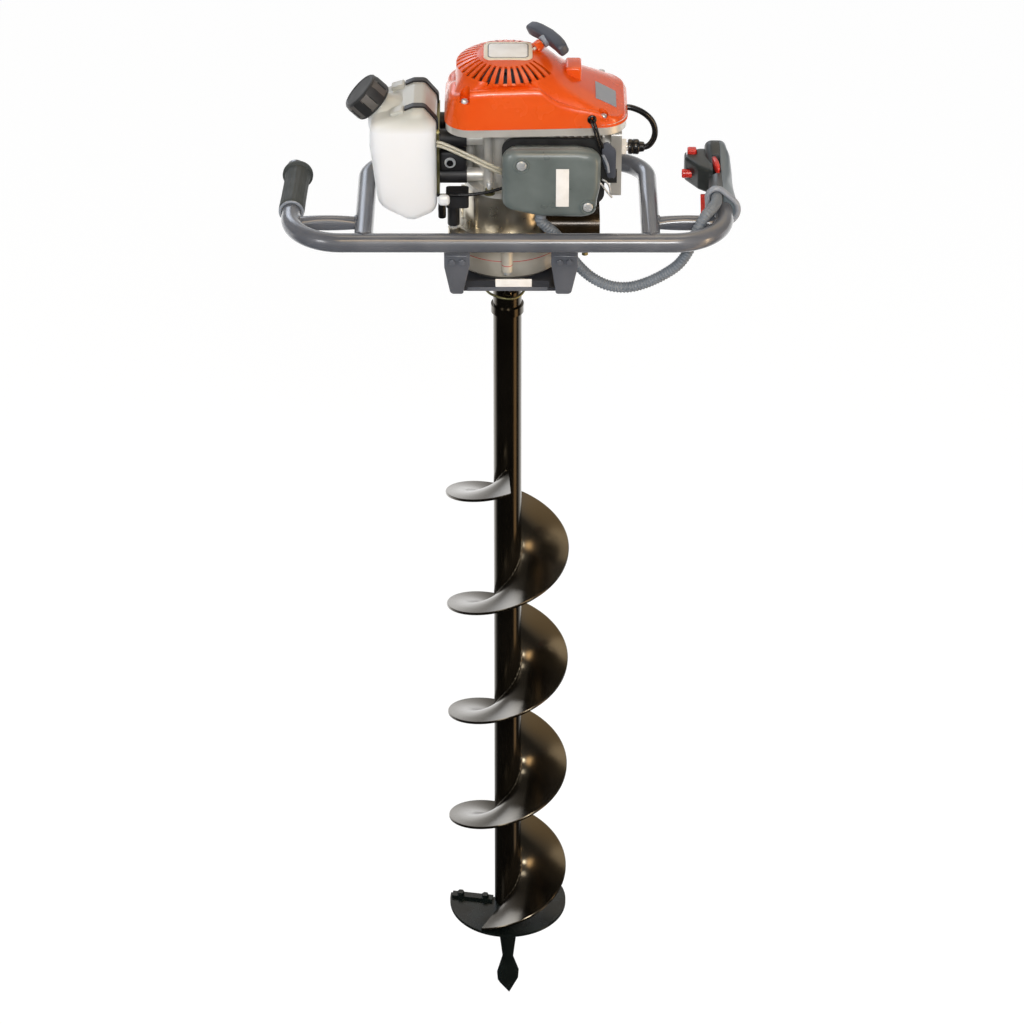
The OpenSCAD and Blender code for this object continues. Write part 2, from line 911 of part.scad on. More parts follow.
// Flywheel disc with fan blades
module flywheel() {
    color("#b5b7ba")
        difference() {
            translate([0, 0, flywheel_z])
                union() {
                    cylinder(r = flywheel_r, h = 6);
                    cylinder(r = 16, h = 18);
                    for (i = [0:15])
                        rotate([0, 0, i * 22.5])
                            translate([32, 0, 5])
                                rotate([0, 0, 20])
                                    cube([24, 2.5, 14]);
                }
            translate([0, 0, flywheel_z - 1])
                cylinder(d = crank_d, h = 24);
        }
}

// Points where one line touches two circles on the same side
function touch(c, r, turn) = c + r * [cos(turn), sin(turn)];
function touch_turn() =
    let(run = [corner_x - left_x, left_y - corner_y])
    atan2(run[1], run[0]) - acos((left_r - corner_r) / norm(run));

module cowl_outline(grow) {
    // The straight sides stop a little inside the arcs so that they cross them cleanly
    inside = grow - 0.15;
    turn = touch_turn();
    a = touch([left_x, -left_y], left_r + inside, turn);
    b = touch([corner_x, -corner_y], corner_r + inside, turn);
    left = left_x - left_r - inside;
    for (s = [-1, 1]) {
        translate([corner_x, s * corner_y])
            circle(r = corner_r + grow);
        translate([left_x, s * left_y])
            circle(r = left_r + grow);
    }
    polygon([
        a, b, [corner_x, -corner_y], [cowl_reach + inside, -corner_y],
        [cowl_reach + inside, corner_y], [corner_x, corner_y], [b[0], -b[1]], [a[0], -a[1]],
        [left_x, left_y], [left, left_y], [left, -left_y], [left_x, -left_y],
    ]);
}

// Cast tray under the cover that holds the flywheel
module fan_housing() {
    color("#cfcdc6")
        difference() {
            translate([0, 0, case_top])
                linear_extrude(rim_h)
                    cowl_outline(0.5);
            translate([0, 0, case_top + rim_wall])
                linear_extrude(rim_h)
                    difference() {
                        cowl_outline(-rim_wall);
                        for (p = screw_places)
                            translate([p[0], p[1]])
                                circle(d = 10);
                    }
            translate([0, 0, case_top - 1])
                cylinder(d = crank_d + 8, h = rim_wall + 2);
            for (p = screw_places)
                translate([p[0], p[1], case_top + rim_wall])
                    cylinder(d = screw_d + 2 * seat, h = rim_h);
            translate([0, lead_route[0][1], lead_route[0][2]])
                along_x(lead_d + 2 * gap, cowl_reach - 10, cowl_reach + 5);
        }
}

// Upright pocket of a cover screw, open towards the wall
module screw_pocket(p, d, low) {
    translate([p[0], p[1], rim_top + low]) {
        cylinder(d = d, h = cover_h);
        translate([0, p[3], 0])
            cylinder(d = d, h = cover_h);
        if (p[3] != 0)
            translate([-d / 2, min(0, p[3]), 0])
                cube([d, abs(p[3]), cover_h]);
    }
}

// Solid of the cover: a dome on a block with a flat front, and a lower cowl over the cylinder
module cover_solid(grow) {
    z = rim_top + (grow < 0 ? -eps : 0);
    top = cover_top + grow;
    r = dome_r + grow;
    rotate_extrude()
        polygon([
            [0, z], [r, z], [r, top - 11], [r - 7, top - 6.5], [r - 20, top - 2.5], [crown_r, top - 0.5],
            [0, top],
        ]);
    hull() {
        for (x = [left_x, crest_x], s = [-1, 1])
            translate([x, s * left_y, z]) {
                cylinder(r = left_r + grow, h = top - 22 - z, $fn = 48);
                cylinder(r = left_r - 3 + grow, h = top - 18 - z, $fn = 48);
            }
        translate([0, 0, z])
            cylinder(r = r, h = top - 11 - z, $fn = 64);
    }
    hull() {
        translate([0, 0, z])
            linear_extrude(cover_skirt, $fn = 48)
                cowl_outline(grow);
        for (s = [-1, 1]) {
            translate([corner_x - 9, s * (corner_y + 4), z])
                cylinder(r = corner_r - 6 + grow, h = 14 + grow, $fn = 32);
            translate([corner_x - 54, s * (corner_y + 2), z])
                cylinder(r = corner_r - 2 + grow, h = 27 + grow, $fn = 32);
        }
        translate([corner_x - 49, 0, z])
            cylinder(r = corner_r - 2 + grow, h = 31 + grow, $fn = 32);
    }
}

module starter_cover() {
    slot_from = 45;
    slot_w = 3.8;
    slot_turn = 270 / (slot_count - 1);
    color("#e85420")
        difference() {
            union() {
                difference() {
                    cover_solid(0);
                    cover_solid(-cover_wall);
                    for (i = [0:slot_count - 1])
                        rotate([0, 0, slot_from + i * slot_turn])
                            translate([crown_r + 6, 0, cover_top - 24])
                                rotate([0, 0, 18])
                                    translate([0, -slot_w / 2, 0])
                                        cube([dome_r - crown_r - 7, slot_w, 30]);
                }
                intersection() {
                    cover_solid(0);
                    for (p = screw_places)
                        screw_pocket(p, pocket_d + 3, 0);
                }
                translate([0, 0, pulley_z - 2])
                    cylinder(d = post_d, h = cover_top - pulley_z);
                translate([76, 0, rim_top + 12])
                    linear_extrude(cover_h - 28)
                        round_rect(16, 30, 3);
                translate(pull_from)
                    rotate([0, 90 - pull_rise, pull_turn])
                        translate([0, 0, -12])
                            cylinder(d = 16, h = 15);
            }
            for (p = screw_places)
                union() {
                    translate([p[0], p[1], rim_top - 1])
                        cylinder(d = screw_d + 2 * seat, h = 40);
                    screw_pocket(p, pocket_d, p[2]);
                }
            translate(pull_from)
                rotate([0, 90 - pull_rise, pull_turn])
                    translate([0, 0, -40])
                        cylinder(d = rope_d + 2 * gap, h = 60);
        }
}

module cover_screws() {
    foot = case_top + rim_wall + seat;
    color("#c9ccd0")
        for (p = screw_places)
            translate([p[0], p[1], 0]) {
                translate([0, 0, foot])
                    cylinder(d = screw_d, h = rim_top + p[2] - foot);
                translate([0, 0, rim_top + p[2]])
                    cylinder(d = screw_d * 2, h = screw_d);
            }
}

// Rope pulley on the cover's centre post
module starter_pulley() {
    r = pulley_d / 2;
    color("#33363a")
        translate([0, 0, pulley_z - 2])
            rotate_extrude()
                polygon([
                    [post_d / 2 + run_c, 0], [r + 3, 0], [r + 3, 2], [r, 2.5], [r, pulley_h - 2.5],
                    [r + 3, pulley_h - 2], [r + 3, pulley_h], [post_d / 2 + run_c, pulley_h],
                ]);
}

module on_pull_line() {
    translate(pull_from)
        rotate([0, 90 - pull_rise, pull_turn])
            children();
}

// T handle: a stem and a chamfered cross bar
module starter_handle() {
    half = handle_len / 2;
    color("#4b4f5a")
        on_pull_line()
            difference() {
                union() {
                    translate([0, 0, 3 + gap])
                        cylinder(d = 10, h = stem_len);
                    translate([0, 0, 3 + gap + stem_len - eps])
                        rotate([90, 0, 90])
                            linear_extrude(16, center = true)
                                polygon([
                                    [-half, 5], [-half + 6, 0], [half - 6, 0], [half, 5],
                                    [half, 9], [half - 12, 14], [-half + 12, 14], [-half, 9],
                                ]);
                }
                translate([0, 0, -1])
                    cylinder(d = rope_d, h = stem_len + 9);
            }
}

// Length of rope between the handle's knot and the inside of the cover
module starter_rope() {
    color("#d8d4c4")
        on_pull_line()
            translate([0, 0, -18])
                cylinder(d = rope_d, h = 18 + stem_len + 8);
}

// Finned cylinder lying along +X with its head and ports
module cylinder_block() {
    pitch = (head_x - cyl_x - 8) / fin_count;
    along_x(2 * core_r, cyl_x, head_x);
    for (i = [0:fin_count - 1])
        side_plate(cyl_x + 6 + i * pitch, cyl_x + 8.5 + i * pitch)
            round_rect(fin_side, fin_side, 6);
    side_plate(cyl_x, cyl_x + 5)
        round_rect(56, 58, 4);
    side_plate(head_x, head_x + head_t)
        translate([0, -head_drop / 2])
            round_rect(fin_side, fin_side + head_drop, 4);
    translate([port_x, 0, 0]) {
        along_y(30, carb_back, 0);
        along_y(32, 0, -carb_back);
    }
}

module cylinder_part() {
    color("#b9b8b3")
        translate([0, 0, cyl_z])
            difference() {
                cylinder_block();
                along_x(14, head_x - 8, head_x + head_t + 1);
            }
}

// Arched outline of the shield, seen along X
module shield_outline(inset, low) {
    intersection() {
        translate([0, shield_low])
            round_rect(shield_deep - 2 * inset, 2 * (shield_h - inset), 14 - inset);
        translate([-shield_deep, low])
            square([2 * shield_deep, 2 * shield_h]);
    }
}

// Sheet shield under the cylinder, set against the ribs of the clutch bell
module lower_shield() {
    from = bell_r + 5;
    difference() {
        union() {
            side_plate(from, shield_reach)
                shield_outline(0, shield_low);
            side_plate(from - 14, from + 1)
                shield_outline(0, up_top + bell_flange_t + 6);
        }
        side_plate(from - 15, shield_reach - shield_t)
            shield_outline(shield_t, shield_low - 1);
        translate([0, 0, shield_low - 1])
            cylinder(r = bell_r + 4 + seat, h = shield_h + 2);
    }
}

// Hollow silencer box behind the cylinder with a short outlet pipe, and the shield
module muffler() {
    back = rear_y - tube_d / 2 - 4;
    wall = 2;
    w = fin_side + 6;
    h = fin_side + 2;
    pipe_x = 24;
    color("#55565a") {
        translate([port_x + 12, 0, cyl_z])
            difference() {
                union() {
                    face_plate(-carb_back, back)
                        round_rect(w, h, 8);
                    translate([pipe_x, back - 20, -44])
                        cylinder(d = 16, h = 12);
                }
                face_plate(-carb_back + wall, back - wall)
                    round_rect(w - 2 * wall, h - 2 * wall, 6);
                translate([pipe_x, back - 20, -45])
                    cylinder(d = 12, h = 20);
            }
        lower_shield();
    }
}

module spark_plug() {
    color("#e9e7e0")
        translate([0, 0, cyl_z]) {
            along_x(14 - 2 * seat, head_x - 6, head_x + head_t);
            translate([head_x + head_t, 0, 0])
                rotate([0, 90, 0])
                    cylinder(d = 20, h = 6, $fn = 6);
            along_x(10, head_x + head_t, head_x + head_t + 16);
        }
}

// Rubber cap pushed over the plug, and the lead that comes out of it
module ignition_lead() {
    seat_x = head_x + head_t;
    color("#1d1d1f") {
        translate([0, 0, cyl_z])
            difference() {
                union() {
                    along_x(17, seat_x + 8, seat_x + 20);
                    along_x(12, seat_x + 20, seat_x + 24);
                }
                along_x(10, seat_x + 7, seat_x + 16);
            }
        cord(lead_route, lead_d, 3);
    }
}

// Carburettor between the cylinder's port and the filter, with its throttle arm
module carburettor() {
    front = filter_back + base_t;
    color("#a7a8a6")
        translate([port_x, 0, cyl_z]) {
            face_plate(front, carb_back)
                round_rect(38, 40, 4);
            translate([0, (front + carb_back) / 2, -26])
                cylinder(d = 20, h = 8);
            translate([0, front + 9, -8])
                along_x(6, 18, 28);
            translate([24, front + 4, -30])
                cube([3, 10, 28]);
        }
}

// Choke lever beside the filter cover, on a stud of the filter's base plate
module choke_lever() {
    pivot = [filter_x + filter_w / 2 + 8, filter_back - 6, cyl_z - 6];
    color("#6f7674")
        translate(pivot)
            difference() {
                union() {
                    along_y(12, 0, 5);
                    translate([-5, 0, 0])
                        cube([10, 5, 40]);
                    translate([-6, -6, 32])
                        cube([12, 11, 10]);
                }
                along_y(5 + 2 * run_c, -1, 6);
            }
}

// Back plate of the air filter, with the choke stud and the conduit's socket
module filter_base() {
    stud_x = filter_x + filter_w / 2 + 8;
    stud_z = cyl_z - 6;
    color("#3c403f") {
        translate([filter_x, 0, cyl_z])
            face_plate(filter_back, filter_back + base_t)
                round_rect(filter_w, filter_h, 14);
        translate([filter_x + filter_w / 2 - 4, filter_back, stud_z - 8])
            cube([18, base_t, 16]);
        translate([stud_x, 0, stud_z])
            along_y(5, filter_back - 8, filter_back + 1);
    }
}

module air_filter() {
    color("#4a4a3e")
        translate([filter_x, 0, cyl_z])
            difference() {
                face_plate(filter_front + filter_wall + seat, filter_back)
                    round_rect(filter_w - 24, filter_h - 20, 10);
                for (p = filter_screw_places)
                    translate([p[0], 0, p[1]])
                        along_y(screw_post_d + 2 * gap, filter_front, filter_back + 1);
            }
}

module filter_cover() {
    soft = 8;
    color("#77807e")
        translate([filter_x, 0, cyl_z])
            difference() {
                hull() {
                    face_plate(filter_front + soft, filter_back)
                        round_rect(filter_w, filter_h, 14, $fn = 32);
                    face_plate(filter_front + soft * 0.3, filter_back)
                        round_rect(filter_w - 5, filter_h - 5, 13, $fn = 32);
                    face_plate(filter_front, filter_back)
                        round_rect(filter_w - 2 * soft, filter_h - 2 * soft, 12, $fn = 32);
                }
                face_plate(filter_front + filter_wall, filter_back + 1)
                    round_rect(filter_w - 22, filter_h - 18, 11);
                for (p = filter_screw_places)
                    translate([p[0], 0, p[1]])
                        along_y(screw_post_d + 2 * seat, filter_front - 1, filter_back + 1);
                translate([38 - filter_x, -78, -filter_h / 2 - 1])
                    cylinder(d = conduit_d + 2 * seat, h = 8);
            }
}

// Two large slotted screws that hold the filter cover
module filter_screws() {
    color("#aab0b2")
        translate([filter_x, 0, cyl_z])
            for (p = filter_screw_places)
                translate([p[0], 0, p[1]])
                    difference() {
                        union() {
                            along_y(14, filter_front - 4, filter_front);
                            along_y(screw_post_d, filter_front - 1, filter_back);
                        }
                        translate([-8, filter_front - 5, -1.2])
                            cube([16, 3.5, 2.4]);
                    }
}

// Fuel side

module tank_outline(grow) {
    offset(r = tank_round + grow, $fn = 32)
        offset(delta = -tank_round)
            polygon(tank_profile);
}

module on_neck() {
    translate(neck_base)
        rotate([0, neck_tilt, 0])
            children();
}

module fuel_tank() {
    color("#f1efe6")
        difference() {
            union() {
                face_plate(tank_front, tank_front + tank_deep)
                    tank_outline(0);
                on_neck()
                    translate([0, 0, -12])
                        cylinder(d = neck_d, h = neck_len + 12);
            }
            on_neck()
                translate([0, 0, -6])
                    cylinder(d = neck_d - 6, h = neck_len + 7);
            strap_hooks(seat);
        }
}

// Fluted screw cap on the filler neck
module fuel_cap() {
    flutes = 14;
    color("#232426")
        on_neck()
            translate([0, 0, cap_off])
                difference() {
                    cylinder(d = cap_d, h = cap_h);
                    translate([0, 0, -1])
                        cylinder(d = neck_d + 2 * run_c, h = neck_len - cap_off + 1 + gap);
                    for (i = [0:flutes - 1])
                        rotate([0, 0, i * 360 / flutes])
                            translate([cap_d / 2 + 1, 0, -1])
                                cylinder(d = 4, h = cap_h - 3);
                }
}

// Plate between the tank and the rubber buffers
module tank_bracket() {
    color("#7b7a55")
        side_plate(bracket_x, bracket_x + bracket_t)
            translate([-2, cyl_z - 1])
                round_rect(bracket_w, bracket_h, 6);
}

// Rubber buffers on the crankcase lugs, and a rubber post on a flange bolt
module tank_buffers() {
    post_foot = up_top + bell_flange_t + 4 + seat;
    color("#26272a") {
        for (y = [-22, 22], z = [cyl_z - 24, cyl_z + 22])
            translate([0, y, z])
                along_x(buffer_d, bracket_x + bracket_t, lug_x);
        rotate([0, 0, 210])
            translate([ear_r, 0, post_foot])
                cylinder(d = 14, h = bell_top - 14 - post_foot);
        translate([-57, -ear_r / 2, bell_top - 14])
            linear_extrude(20)
                round_rect(26, 17, 4);
    }
}

// Slots in the tank's roof that take the hooked ends of the straps
module strap_hooks(slack) {
    for (y = strap_places)
        translate([strap_end - slack, tank_front + y - slack, 122])
            cube([strap_t + 2 * slack, strap_w + 2 * slack, 30]);
}

// Two straps from the roof slots over the tank's shoulder down to the bracket
module tank_strap() {
    color("#3a3129")
        intersection() {
            union() {
                for (y = strap_places)
                    face_plate(tank_front + y, tank_front + y + strap_w)
                        intersection() {
                            difference() {
                                tank_outline(strap_t + seat);
                                tank_outline(seat);
                            }
                            translate([strap_end, bracket_top])
                                square([60, 60]);
                        }
                strap_hooks(0);
            }
            face_plate(tank_front, tank_front + tank_deep)
                tank_outline(strap_t + seat);
        }
}

module fuel_hoses() {
    color("#d9d3bd") {
        cord(hose_route, hose_d, 3);
        translate([0, 0, 7])
            cord(hose_route, hose_d, 3);
    }
    color("#1c1c1e")
        cord(return_route, hose_d, 3);
}

// Throttle handle

module disc_at(y, x, z, r) {
    translate([x, y, z])
        rotate([-90, 0, 0])
            cylinder(r = r, h = 1, $fn = 32);
}

// Sections of the moulded handle from the open cuff to the head
module cuff_section() { disc_at(handle_front, 0, 0, 17); disc_at(handle_front, -8, 17, 10); }
module neck_section() { disc_at(2, 0, 0, 16); disc_at(2, -4, 10, 12); }
module waist_section() { disc_at(45, 0, -2, 15); disc_at(45, -1, 8, 13); }
module shoulder_section() { disc_at(75, -2, 0, 17); disc_at(75, -2, 14, 15); }
module head_section() { disc_at(106, -4, 4, 14); disc_at(106, -4, 22, 12); }

module handle_solid() {
    hull() { cuff_section(); neck_section(); }
    hull() { neck_section(); waist_section(); }
    hull() { waist_section(); shoulder_section(); }
    hull() { shoulder_section(); head_section(); }
}

// Hollows for the tube, the conduit, the trigger and its lock
module handle_hollows() {
    along_y(tube_d, handle_front - 1, right_tube_end);
    translate([conduit_at[0], 0, conduit_at[1]])
        along_y(conduit_d + 2 * seat, handle_front - 1, -4);
    translate([-trigger_w / 2 - gap, trigger_front - 7, -40])
        cube([trigger_w + 2 * gap, trigger_pivot[0] - trigger_front + 13, 42]);
    translate([-3 - gap, lock_pivot[0] - 5, lock_pivot[1] - 6])
        cube([6 + 2 * gap, 40, 40]);
}

module handle_pins() {
    for (p = [trigger_pivot, lock_pivot])
        translate([0, p[0], p[1]])
            along_x(4, -trigger_w, trigger_w);
}

module handle_half(side) {
    translate([grip_x, 0, 0])
        intersection() {
            children();
            translate([side < 0 ? -60 : 0, -60, -60])
                cube([60, 240, 140]);
        }
}

// Inner half with the switch pod and the pivot pins
module throttle_housing() {
    color("#3b4043")
        handle_half(-1)
            union() {
                difference() {
                    union() {
                        handle_solid();
                        translate([pod_face, 56, -8])
                            rotate([90, 0, 90])
                                linear_extrude(24)
                                    translate([21, 17])
                                        round_rect(42, 34, 8);
                    }
                    handle_hollows();
                    translate([pod_face - 1, switch_at[0] - switch_size[1] / 2 - gap,
                            switch_at[1] - switch_size[2] / 2 - gap])
                        cube([switch_size[0] + 2, switch_size[1] + 2 * gap, switch_size[2] + 2 * gap]);
                    translate([0, button_at[0], button_at[1]])
                        along_x(button_d + 2 * run_c, pod_face - 1, pod_face + button_in + 4);
                }
                handle_pins();
                translate([pod_face + 1, switch_at[0], switch_at[1] - switch_size[2] / 2 - 2])
                    cylinder(d = switch_pin_d, h = switch_size[2] + 4);
            }
}

module throttle_cover() {
    color("#454b4e")
        handle_half(1)
            union() {
                difference() {
                    handle_solid();
                    handle_hollows();
                }
                handle_pins();
            }
}

// Trigger blade under the handle
module throttle_trigger() {
    p = trigger_pivot;
    f = trigger_front;
    color("#d8322a")
        translate([grip_x, 0, 0])
            difference() {
                side_plate(-trigger_w / 2, trigger_w / 2)
                    polygon([
                        [p[0] + 4, p[1] - 3], [p[0] + 4, p[1] + 3], [p[0] - 4, p[1] + 5],
                        [f, p[1] - 6], [f - 1, p[1] - 22], [f + 5, p[1] - 24],
                        [f + 18, p[1] - 18], [p[0] - 6, p[1] - 12],
                    ]);
                translate([0, p[0], p[1]])
                    along_x(4 + 2 * run_c, -trigger_w, trigger_w);
            }
}

// Safety lever on top of the handle that frees the trigger
module trigger_lock() {
    p = lock_pivot;
    color("#d8322a")
        translate([grip_x, 0, 0])
            difference() {
                side_plate(-3, 3)
                    polygon([
                        [p[0] - 4, p[1] - 3], [p[0] + 4, p[1] - 4], [p[0] + 26, p[1] + 7],
                        [p[0] + 30, p[1] + 19], [p[0] + 20, p[1] + 19], [p[0] - 4, p[1] + 5],
                    ]);
                translate([0, p[0], p[1]])
                    along_x(4 + 2 * run_c, -trigger_w, trigger_w);
            }
}

// Rocker of the engine stop switch on its pivot pin
module stop_switch() {
    s = switch_size;
    color("#e03a30")
        translate([grip_x + pod_face, switch_at[0], switch_at[1]])
            difference() {
                side_plate(-3, 4)
                    round_rect(s[1] - 2, s[2] - 1, 1);
                translate([1, 0, -s[2]])
                    cylinder(d = switch_pin_d + 2 * run_c, h = 2 * s[2]);
            }
}

module half_throttle_button() {
    color("#e03a30")
        translate([grip_x, button_at[0], button_at[1]])
            along_x(button_d, pod_face - button_out, pod_face + button_in);
}

// Ribbed conduit with its bore, from the handle to the filter's base
module throttle_conduit() {
    sides = 8;
    smooth = curve(conduit_route, conduit_steps);
    ribs = evenly(smooth, 2 * rib_count);
    bore = evenly(smooth, 40);
    t = directions(ribs);
    n = side_vectors(t);
    u = directions(bore);
    m = side_vectors(u);
    outer = len(ribs);
    inner = len(bore);
    deep = conduit_d / 2 - 0.7;
    start = outer * sides;
    color("#7d848a")
        polyhedron(
            points = concat(
                ring_points(ribs, t, n, [conduit_d / 2, deep], sides),
                ring_points(bore, u, m, [conduit_bore / 2], sides)),
            faces = concat(
                wall_faces(outer, sides, 0, true),
                wall_faces(inner, sides, start, false),
                lip_faces(sides, start, 0, true),
                lip_faces(sides, start + (inner - 1) * sides, (outer - 1) * sides, false)));
}

// Auger bit

// Helical flight plate from the cutting plate upwards, welded round the tube
module auger_flight() {
    steps = round(flight_turns * flight_steps);
    step = 360 / flight_steps;
    inner = bit_r / cos(step / 2) + 0.02;
    points = [for (i = [0:steps])
        let(
            a = flight_start + i * step,
            z = flight_z + i * auger_pitch / flight_steps)
        for (c = [[inner, 0], [inner, flight_t], [auger_r, flight_t], [auger_r, 0]])
            [c[0] * cos(a), c[0] * sin(a), z + c[1]]];
    color("#141414")
        polyhedron(
            points = points,
            faces = concat(
                wall_faces(steps + 1, 4, 0, true),
                disc_faces(4, 0, true),
                disc_faces(4, 4 * steps, false)));
}

// Tube of the bit with its collar and the socket for the output shaft
module auger_tube() {
    color("#141414")
        difference() {
            union() {
                translate([0, 0, bit_bottom])
                    cylinder(r = bit_r, h = bit_top - bit_bottom);
                translate([0, 0, collar_z])
                    cylinder(r = bit_r + 2.5, h = 10);
            }
            translate([0, 0, shaft_end])
                cylinder(d = out_d + 2 * socket_c, h = bit_top - shaft_end + 1);
            translate([0, 0, bit_bottom - 1])
                cylinder(r = bit_r - bit_wall, h = shaft_end - bit_bottom - 5);
            translate([0, 0, hitch_z])
                along_y(hitch_d + 2 * seat, -bit_tube_d, bit_tube_d);
        }
}

// Pin through the bit and the output shaft, with its wire clip round the tube
module hitch_pin() {
    head = bit_r + 5;
    clip_r = bit_r + 8;
    color("#b4b6b8")
        translate([0, 0, hitch_z]) {
            along_y(hitch_d, -head, head);
            translate([0, -head, 0])
                along_y(hitch_d + 5, -3, 0);
            rotate([0, 0, -90])
                rotate_extrude(angle = 200)
                    translate([clip_r, 0])
                        circle(d = 3);
        }
}

// Cutting plate at the foot with its bolted knife
module blade_plate() {
    lead = 170;
    sweep = 210;
    knife_t = 4;
    color("#22262a")
        translate([0, 0, blade_z])
            rotate([0, 0, lead]) {
                rotate_extrude(angle = sweep)
                    translate([bit_r + seat, 0])
                        square([auger_r - bit_r - seat, blade_t]);
                translate([bit_r + 2, 1, blade_t])
                    cube([auger_r - bit_r - 5, 10, knife_t]);
                for (x = [bit_r + 12, auger_r - 14])
                    translate([x, 6, blade_t + knife_t])
                        cylinder(d = 9, h = 4, $fn = 6);
            }
}

// Fishtail point on a tapered neck
module pilot_point() {
    tail_h = 62;
    color("#22262a") {
        translate([0, 0, tip_z + tail_h - 8])
            cylinder(d1 = 13, d2 = bit_tube_d - 1, h = bit_bottom - tip_z - tail_h + 8);
        rotate([0, 0, 25])
            translate([0, 0, tip_z])
                face_plate(-4, 4)
                    polygon([
                        [0, 0], [13, 20], [14, 34], [5, tail_h], [-5, tail_h], [-14, 34], [-13, 20],
                    ]);
    }
}

handlebar();
rear_loop();
grip_braces();
hangers();
base_tray();
left_grip();
throttle_housing();
throttle_cover();
throttle_trigger();
trigger_lock();
stop_switch();
half_throttle_button();
throttle_conduit();
gearbox_lower();
gearbox_gasket();
gearbox_upper();
gearbox_bolts();
gearbox_bearings();
ring_gears();
output_carrier();
first_carrier();
planet_1a();
planet_1b();
planet_1c();
planet_2a();
planet_2b();
planet_2c();
clutch_drum();
clutch_shoes();
clutch_housing();
crankcase();
crankshaft();
flywheel();
fan_housing();
starter_cover();
cover_screws();
starter_pulley();
starter_handle();
starter_rope();
cylinder_part();  // cylinder
muffler();
spark_plug();
ignition_lead();
carburettor();
choke_lever();
filter_base();
air_filter();
filter_cover();
filter_screws();
fuel_tank();
fuel_cap();
tank_bracket();
tank_buffers();
tank_strap();
fuel_hoses();
auger_tube();
auger_flight();
blade_plate();
pilot_point();
hitch_pin();
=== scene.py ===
import math
import bpy
import bmesh
from mathutils import Matrix, Vector


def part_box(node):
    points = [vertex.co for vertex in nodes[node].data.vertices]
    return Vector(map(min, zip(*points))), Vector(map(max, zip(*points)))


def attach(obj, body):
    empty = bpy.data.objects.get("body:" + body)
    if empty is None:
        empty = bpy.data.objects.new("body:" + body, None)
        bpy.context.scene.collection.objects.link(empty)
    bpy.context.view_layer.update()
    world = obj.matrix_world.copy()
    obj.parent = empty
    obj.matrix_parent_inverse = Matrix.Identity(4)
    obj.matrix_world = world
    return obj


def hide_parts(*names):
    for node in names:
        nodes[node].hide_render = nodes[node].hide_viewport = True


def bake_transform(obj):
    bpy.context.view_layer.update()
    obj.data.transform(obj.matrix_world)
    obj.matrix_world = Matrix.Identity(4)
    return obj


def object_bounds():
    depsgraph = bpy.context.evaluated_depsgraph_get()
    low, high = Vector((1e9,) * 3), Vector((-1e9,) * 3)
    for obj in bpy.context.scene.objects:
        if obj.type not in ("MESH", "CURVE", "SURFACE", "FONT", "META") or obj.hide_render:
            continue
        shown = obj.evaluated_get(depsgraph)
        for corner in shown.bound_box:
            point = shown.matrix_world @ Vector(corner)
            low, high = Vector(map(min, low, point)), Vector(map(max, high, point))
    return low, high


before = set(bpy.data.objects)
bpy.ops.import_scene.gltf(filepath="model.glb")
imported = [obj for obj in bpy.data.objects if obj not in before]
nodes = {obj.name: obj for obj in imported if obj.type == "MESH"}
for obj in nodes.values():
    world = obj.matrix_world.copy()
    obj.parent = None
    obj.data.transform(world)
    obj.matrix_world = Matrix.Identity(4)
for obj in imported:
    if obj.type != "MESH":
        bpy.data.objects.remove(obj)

cadBox = [list(c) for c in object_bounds()]
print("frame loaded, nodes:", len(nodes))


# sRGB hex code to a linear colour
def hexColor(code):
    parts = [int(code[i:i + 2], 16) / 255 for i in (1, 3, 5)]
    return tuple(p / 12.92 if p <= 0.04045 else ((p + 0.055) / 1.055) ** 2.4 for p in parts) + (1.0,)


# Adds a node, sets its sockets, properties or colour stops, and links it
def addNode(tree, kind, settings=None, links=None):
    node = tree.nodes.new(kind)
    for key, value in (settings or {}).items():
        if key == "stops":
            elements = node.color_ramp.elements
            while len(elements) < len(value):
                elements.new(0.5)
            for element, (at, color) in zip(elements, value):
                element.position = at
                element.color = color
        elif isinstance(key, int) or key in node.inputs:
            node.inputs[key].default_value = value
        else:
            setattr(node, key, value)
    for key, socket in (links or {}).items():
        tree.links.new(socket, node.inputs[key])
    return node


# Material with its shader set; place is the Object coordinate
def newFinish(name, shaderValues):
    mat = bpy.data.materials.new(name)
    mat.use_nodes = True
    tree = mat.node_tree
    shader = tree.nodes["Principled BSDF"]
    for key, value in shaderValues.items():
        shader.inputs[key].default_value = value
    place = addNode(tree, "ShaderNodeTexCoord").outputs["Object"]
    return mat, tree, shader, place


def grey(v):
    return (v, v, v, 1.0)


# Scale of a noise whose blotches are about this many millimetres wide
def perMm(mm):
    return 1000.0 / mm


